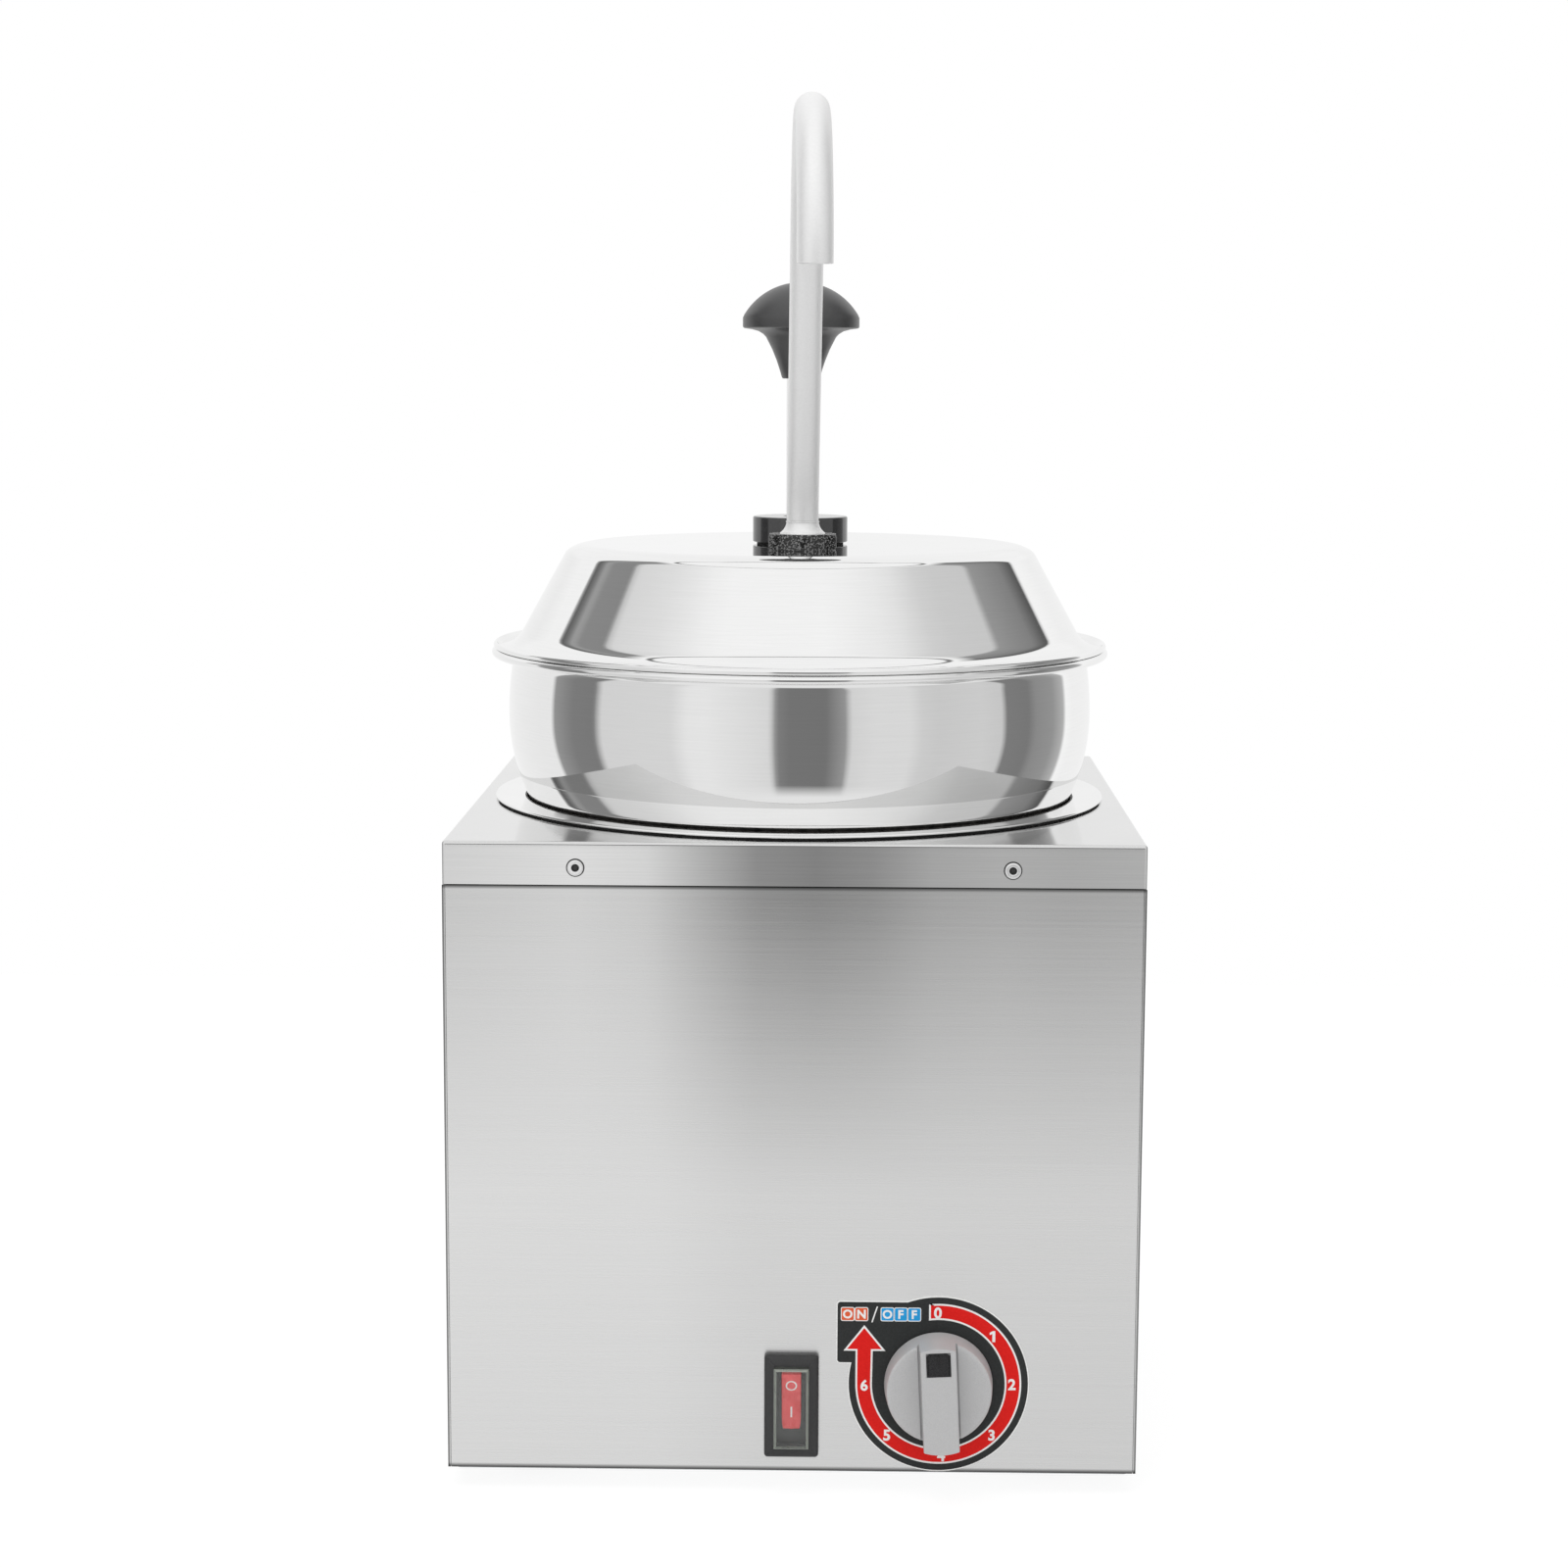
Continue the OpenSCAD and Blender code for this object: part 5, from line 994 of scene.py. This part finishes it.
# Collar: a turned black nut with a broken edge, screwed on the barrel's neck against a thin
# seal; the plunger's rod slides through its roof, over a soft stop washer.
gloss_black = finish(
    "gloss_black", (0.012, 0.012, 0.013), (0.022, 0.022, 0.023), (0.05, 0.1), 700,
    Specular_IOR_Level=1.0)
COLLAR_FOOT, COLLAR_TOP = heights("pump_collar")
COLLAR_R, THREAD_R, ROD_HOLE_R, CROWN_BEND = 18.4, 14.95, 5.58, 0.7
outline = raised(COLLAR_FOOT, [(THREAD_R, 0), (18.2, 0), (COLLAR_R, 0.2), (COLLAR_R, 1)])
outline += [(COLLAR_R, COLLAR_TOP - 2 * CROWN_BEND)]
outline += arc(COLLAR_R - CROWN_BEND, COLLAR_TOP - CROWN_BEND, CROWN_BEND, 0, 90, 6)
outline += raised(COLLAR_TOP, [(16.8, 0), (6.6, 0), (ROD_HOLE_R, -0.8), (ROD_HOLE_R, -3.4),
                               (THREAD_R, -3.4)]) + outline[:1]
collar = lathe("turned_collar", outline, steps=128, angle=35)
fit(collar, gloss_black, "lid", "black_plastic", "pump_collar")
dress(rubber, "collar_seal", "stop_washer")


# Barrel, valves and riser: the pump's wetted tube with a shoulder under the lid, a two-ball
# valve body at the pot's floor and the riser beside it, all of bright stainless.
dress(bright_steel, "pump_barrel", "valve_body", "discharge_riser", "inlet_ball", "outlet_ball")
dress(rubber, "riser_seal", "piston_seal")
dress(ceramic, "piston")


# Union nut: black moulded plastic with a diamond knurl, every second corner of its rows drawn
# out to a tooth. It screws on the riser and holds the spout's flange under its low lip.
NUT_FOOT, NUT_TOP = LID_TOP + 0.05, LID_TOP + 6.1
NUT_R, ROOT_R = 12.85, 12.3
# the grey specks in its colour are painted glints on the knurl's teeth
knurl_black_glints = finish(
    "knurl_black_glints", (0.003, 0.003, 0.003), (0.26, 0.26, 0.26), (0.25, 0.4), 1350, 2,
    span=(0.53, 0.57), Specular_IOR_Level=0.6)
KNURL_ROWS, KNURL_TEETH, KNURL_TALL = 8, 60, 5.6
rows = [NUT_FOOT + 0.05 + KNURL_TALL * i / KNURL_ROWS for i in range(KNURL_ROWS + 1)]
outline = [(NUT_BORE, NUT_FOOT), (ROOT_R, NUT_FOOT)] + [(ROOT_R, z) for z in rows]
outline += raised(NUT_TOP, [(12.6, -0.2), (12.4, 0), (9.1, 0), (9.1, -1.6), (NUT_BORE, -1.6)])
outline += outline[:1]
knurled = lathe("knurled_nut", outline, NUT, steps=KNURL_TEETH * 2, angle=10)
pitch = 2 * math.pi / (KNURL_TEETH * 2)
set_mode("EDIT")
bpy.ops.mesh.select_mode(type="VERT")
bpy.ops.mesh.select_all(action="DESELECT")
set_mode("OBJECT")
for corner in knurled.data.vertices:
    x, y, z = corner.co / MM
    x, y = x - NUT[0], y - NUT[1]
    row = round((z - rows[0]) / (KNURL_TALL / KNURL_ROWS))
    tooth = round(math.atan2(y, x) / pitch)
    inside = rows[0] + 0.1 < z < rows[-1] - 0.1 and math.hypot(x, y) > 12.2
    corner.select = inside and (row + tooth) % 2 == 0
set_mode("EDIT")
nut_axis = (NUT[0] * MM, NUT[1] * MM, 0)
bpy.ops.transform.resize(value=(NUT_R / ROOT_R, NUT_R / ROOT_R, 1), center_override=nut_axis)
set_mode("OBJECT")
fit(knurled, knurl_black_glints, "lid", "black_plastic", "spout_nut")


# Spout: a 12 mm stainless tube bent to a goose neck with a flared and flanged foot, a fine
# groove over the flare and its mouth cut level. It swings in the union nut.
FOOT_Z, SPOUT_Z = LID_TOP + 2.2, LID_TOP + 11.1
FLANGE_R, FLANGE_TALL, FLARE_BEND, TUBE_R = 10.6, 2.2, 5.667, 6.0
satin_tube = finish(
    "satin_tube", (0.9, 0.9, 0.898), (0.94, 0.94, 0.938), (0.46, 0.54), 1300, 4, Metallic=0.6)
deselect()
bpy.ops.mesh.primitive_circle_add(vertices=64, radius=FLANGE_R * MM,
                                  location=(NUT[0] * MM, NUT[1] * MM, FOOT_Z * MM))
settle()
set_mode("EDIT")
bpy.ops.mesh.select_all(action="SELECT")
flare = raised(FOOT_Z, [(FLANGE_R, 0), (FLANGE_R, FLANGE_TALL), (9.0, FLANGE_TALL)])
flare += arc(TUBE_R + FLARE_BEND, SPOUT_Z, FLARE_BEND, 241.93, 187.6, 8)[1:]
flare += raised(SPOUT_Z, [(6.3, -0.7), (6.3, -0.35), (5.7, -0.3), (5.7, -0.05), (TUBE_R, 0)])
for (r0, z0), (r1, z1) in zip(flare, flare[1:]):
    push(0, 0, z1 - z0)
    bpy.ops.transform.resize(value=(r1 / r0, r1 / r0, 1), center_override=nut_axis)
LEAN = math.radians(25)
RISE, FOOT_BEND, GOOSE_BEND, SWING = 110.6, 30, 52, math.radians(-2.1)


def bend(angle, y, z, steps):
    """Sweeps the open end of the tube round a level line across the object at (y, z) in mm."""
    bpy.ops.mesh.spin(steps=steps, angle=angle, center=(0, y * MM, z * MM), axis=(-1, 0, 0))


bend(LEAN, NUT[1] - FOOT_BEND, SPOUT_Z, 8)
push(0, -math.sin(LEAN) * RISE, math.cos(LEAN) * RISE)
end_y = NUT[1] - FOOT_BEND * (1 - math.cos(LEAN)) - RISE * math.sin(LEAN)
end_z = SPOUT_Z + FOOT_BEND * math.sin(LEAN) + RISE * math.cos(LEAN)
bend(math.pi - LEAN, end_y - GOOSE_BEND * math.cos(LEAN), end_z - GOOSE_BEND * math.sin(LEAN), 56)
push(0, 0, -0.7)
spout = close_up("goose_neck_spout", 40)
turn_piece(spout, SWING, "Z", (*NUT, 0))
run_modifier(spout, "SOLIDIFY", thickness=1 * MM, offset=-1, use_even_offset=True)
smooth(spout, 40)
# the photo's lid shows no mirrored spout
spout.visible_glossy = False
fit(spout, satin_tube, "spout", "polished_steel", "spout")


# Plunger rod: ground stainless, from the piston up through the collar. Its lower end is turned
# down to a neck that holds the piston, its upper end carries the palm knob.
rod_foot, rod_head = heights("plunger_rod")
PISTON_TOP, ROD_R, STEM_R, NECK_R = LID_TOP + 4.9, 5.5, 5.4, 3.3
outline = raised(rod_foot, [(0, 0), (5, 0), (STEM_R, 0.4)])
outline += raised(PISTON_TOP, [(STEM_R, -10.1), (NECK_R, -10.1), (NECK_R, 0), (ROD_R, 0), (ROD_R, 1)])
outline += raised(rod_head, [(ROD_R, -0.8), (4.9, 0), (0, 0)])
rod = lathe("ground_rod", outline, steps=64)
fit(rod, bright_steel, "plunger", "bright_steel", "plunger_rod")


# Palm knob: moulded black plastic screwed on the rod, a low dome for the palm over a shank
# that flares out under it.
KNOB_FOOT, KNOB_TOP = heights("plunger_knob")
DOME_R = 25.66
knob_black = finish(
    "knob_black", (0.022, 0.022, 0.023), (0.034, 0.034, 0.035), (0.32, 0.42), 2000,
    relief=(0.00004, 0.3), Specular_IOR_Level=0.9)
outline = raised(KNOB_FOOT, [
    (0, 12.1), (5.55, 12.1), (5.55, 0), (7.0, 0), (7.4, 0.5), (8.2, 3.3), (9.48, 7.12), (11.2, 11.3),
    (13.5, 15.82), (14.6, 17.0), (16.4, 18.1), (19.13, 18.84), (21.83, 19.21), (22.3, 19.45),
    (22.5, 19.95), (22.5, 23.2)])
outline += arc(0, KNOB_TOP - DOME_R, DOME_R, 28.75, 90, 26)[1:]
knob = lathe("palm_knob", outline, steps=144, angle=32)
fit(knob, knob_black, "plunger", "black_plastic", "plunger_knob")


# Return spring: wound from 2 mm stainless wire, inside the barrel under the piston. It brings
# the plunger back up and is squashed when the knob is pressed, but here it is drawn at rest,
# fixed to the lid.
spring_low, spring_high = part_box("return_spring")
COILS, WIRE_R, COIL_R = 10, 1.0, 11.0
SPRING_FOOT, SPRING_HEAD = spring_low.z / MM + WIRE_R, spring_high.z / MM - WIRE_R
deselect()
bpy.ops.mesh.primitive_circle_add(vertices=10, radius=WIRE_R * 0.98 * MM, fill_type="NGON",
                                  rotation=(math.pi / 2, 0, 0),
                                  location=(COIL_R * MM, 0, SPRING_FOOT * MM))
settle()
coil = bpy.context.object
run_modifier(coil, "SCREW", angle=2 * math.pi, screw_offset=(SPRING_HEAD - SPRING_FOOT) / COILS * MM,
             iterations=COILS, steps=32, render_steps=32, axis="Z", use_merge_vertices=True)
set_mode("EDIT")
spring = close_up("wound_spring", 40)
spring_wire = finish(
    "spring_wire", (0.58, 0.57, 0.55), (0.72, 0.71, 0.69), (0.2, 0.35), 900, stretch=(1, 1, 3),
    Metallic=1.0)
fit(spring, spring_wire, "lid", "bright_steel", "return_spring")
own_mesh(spring)


# Sizes of the dressed model.
low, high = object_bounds()
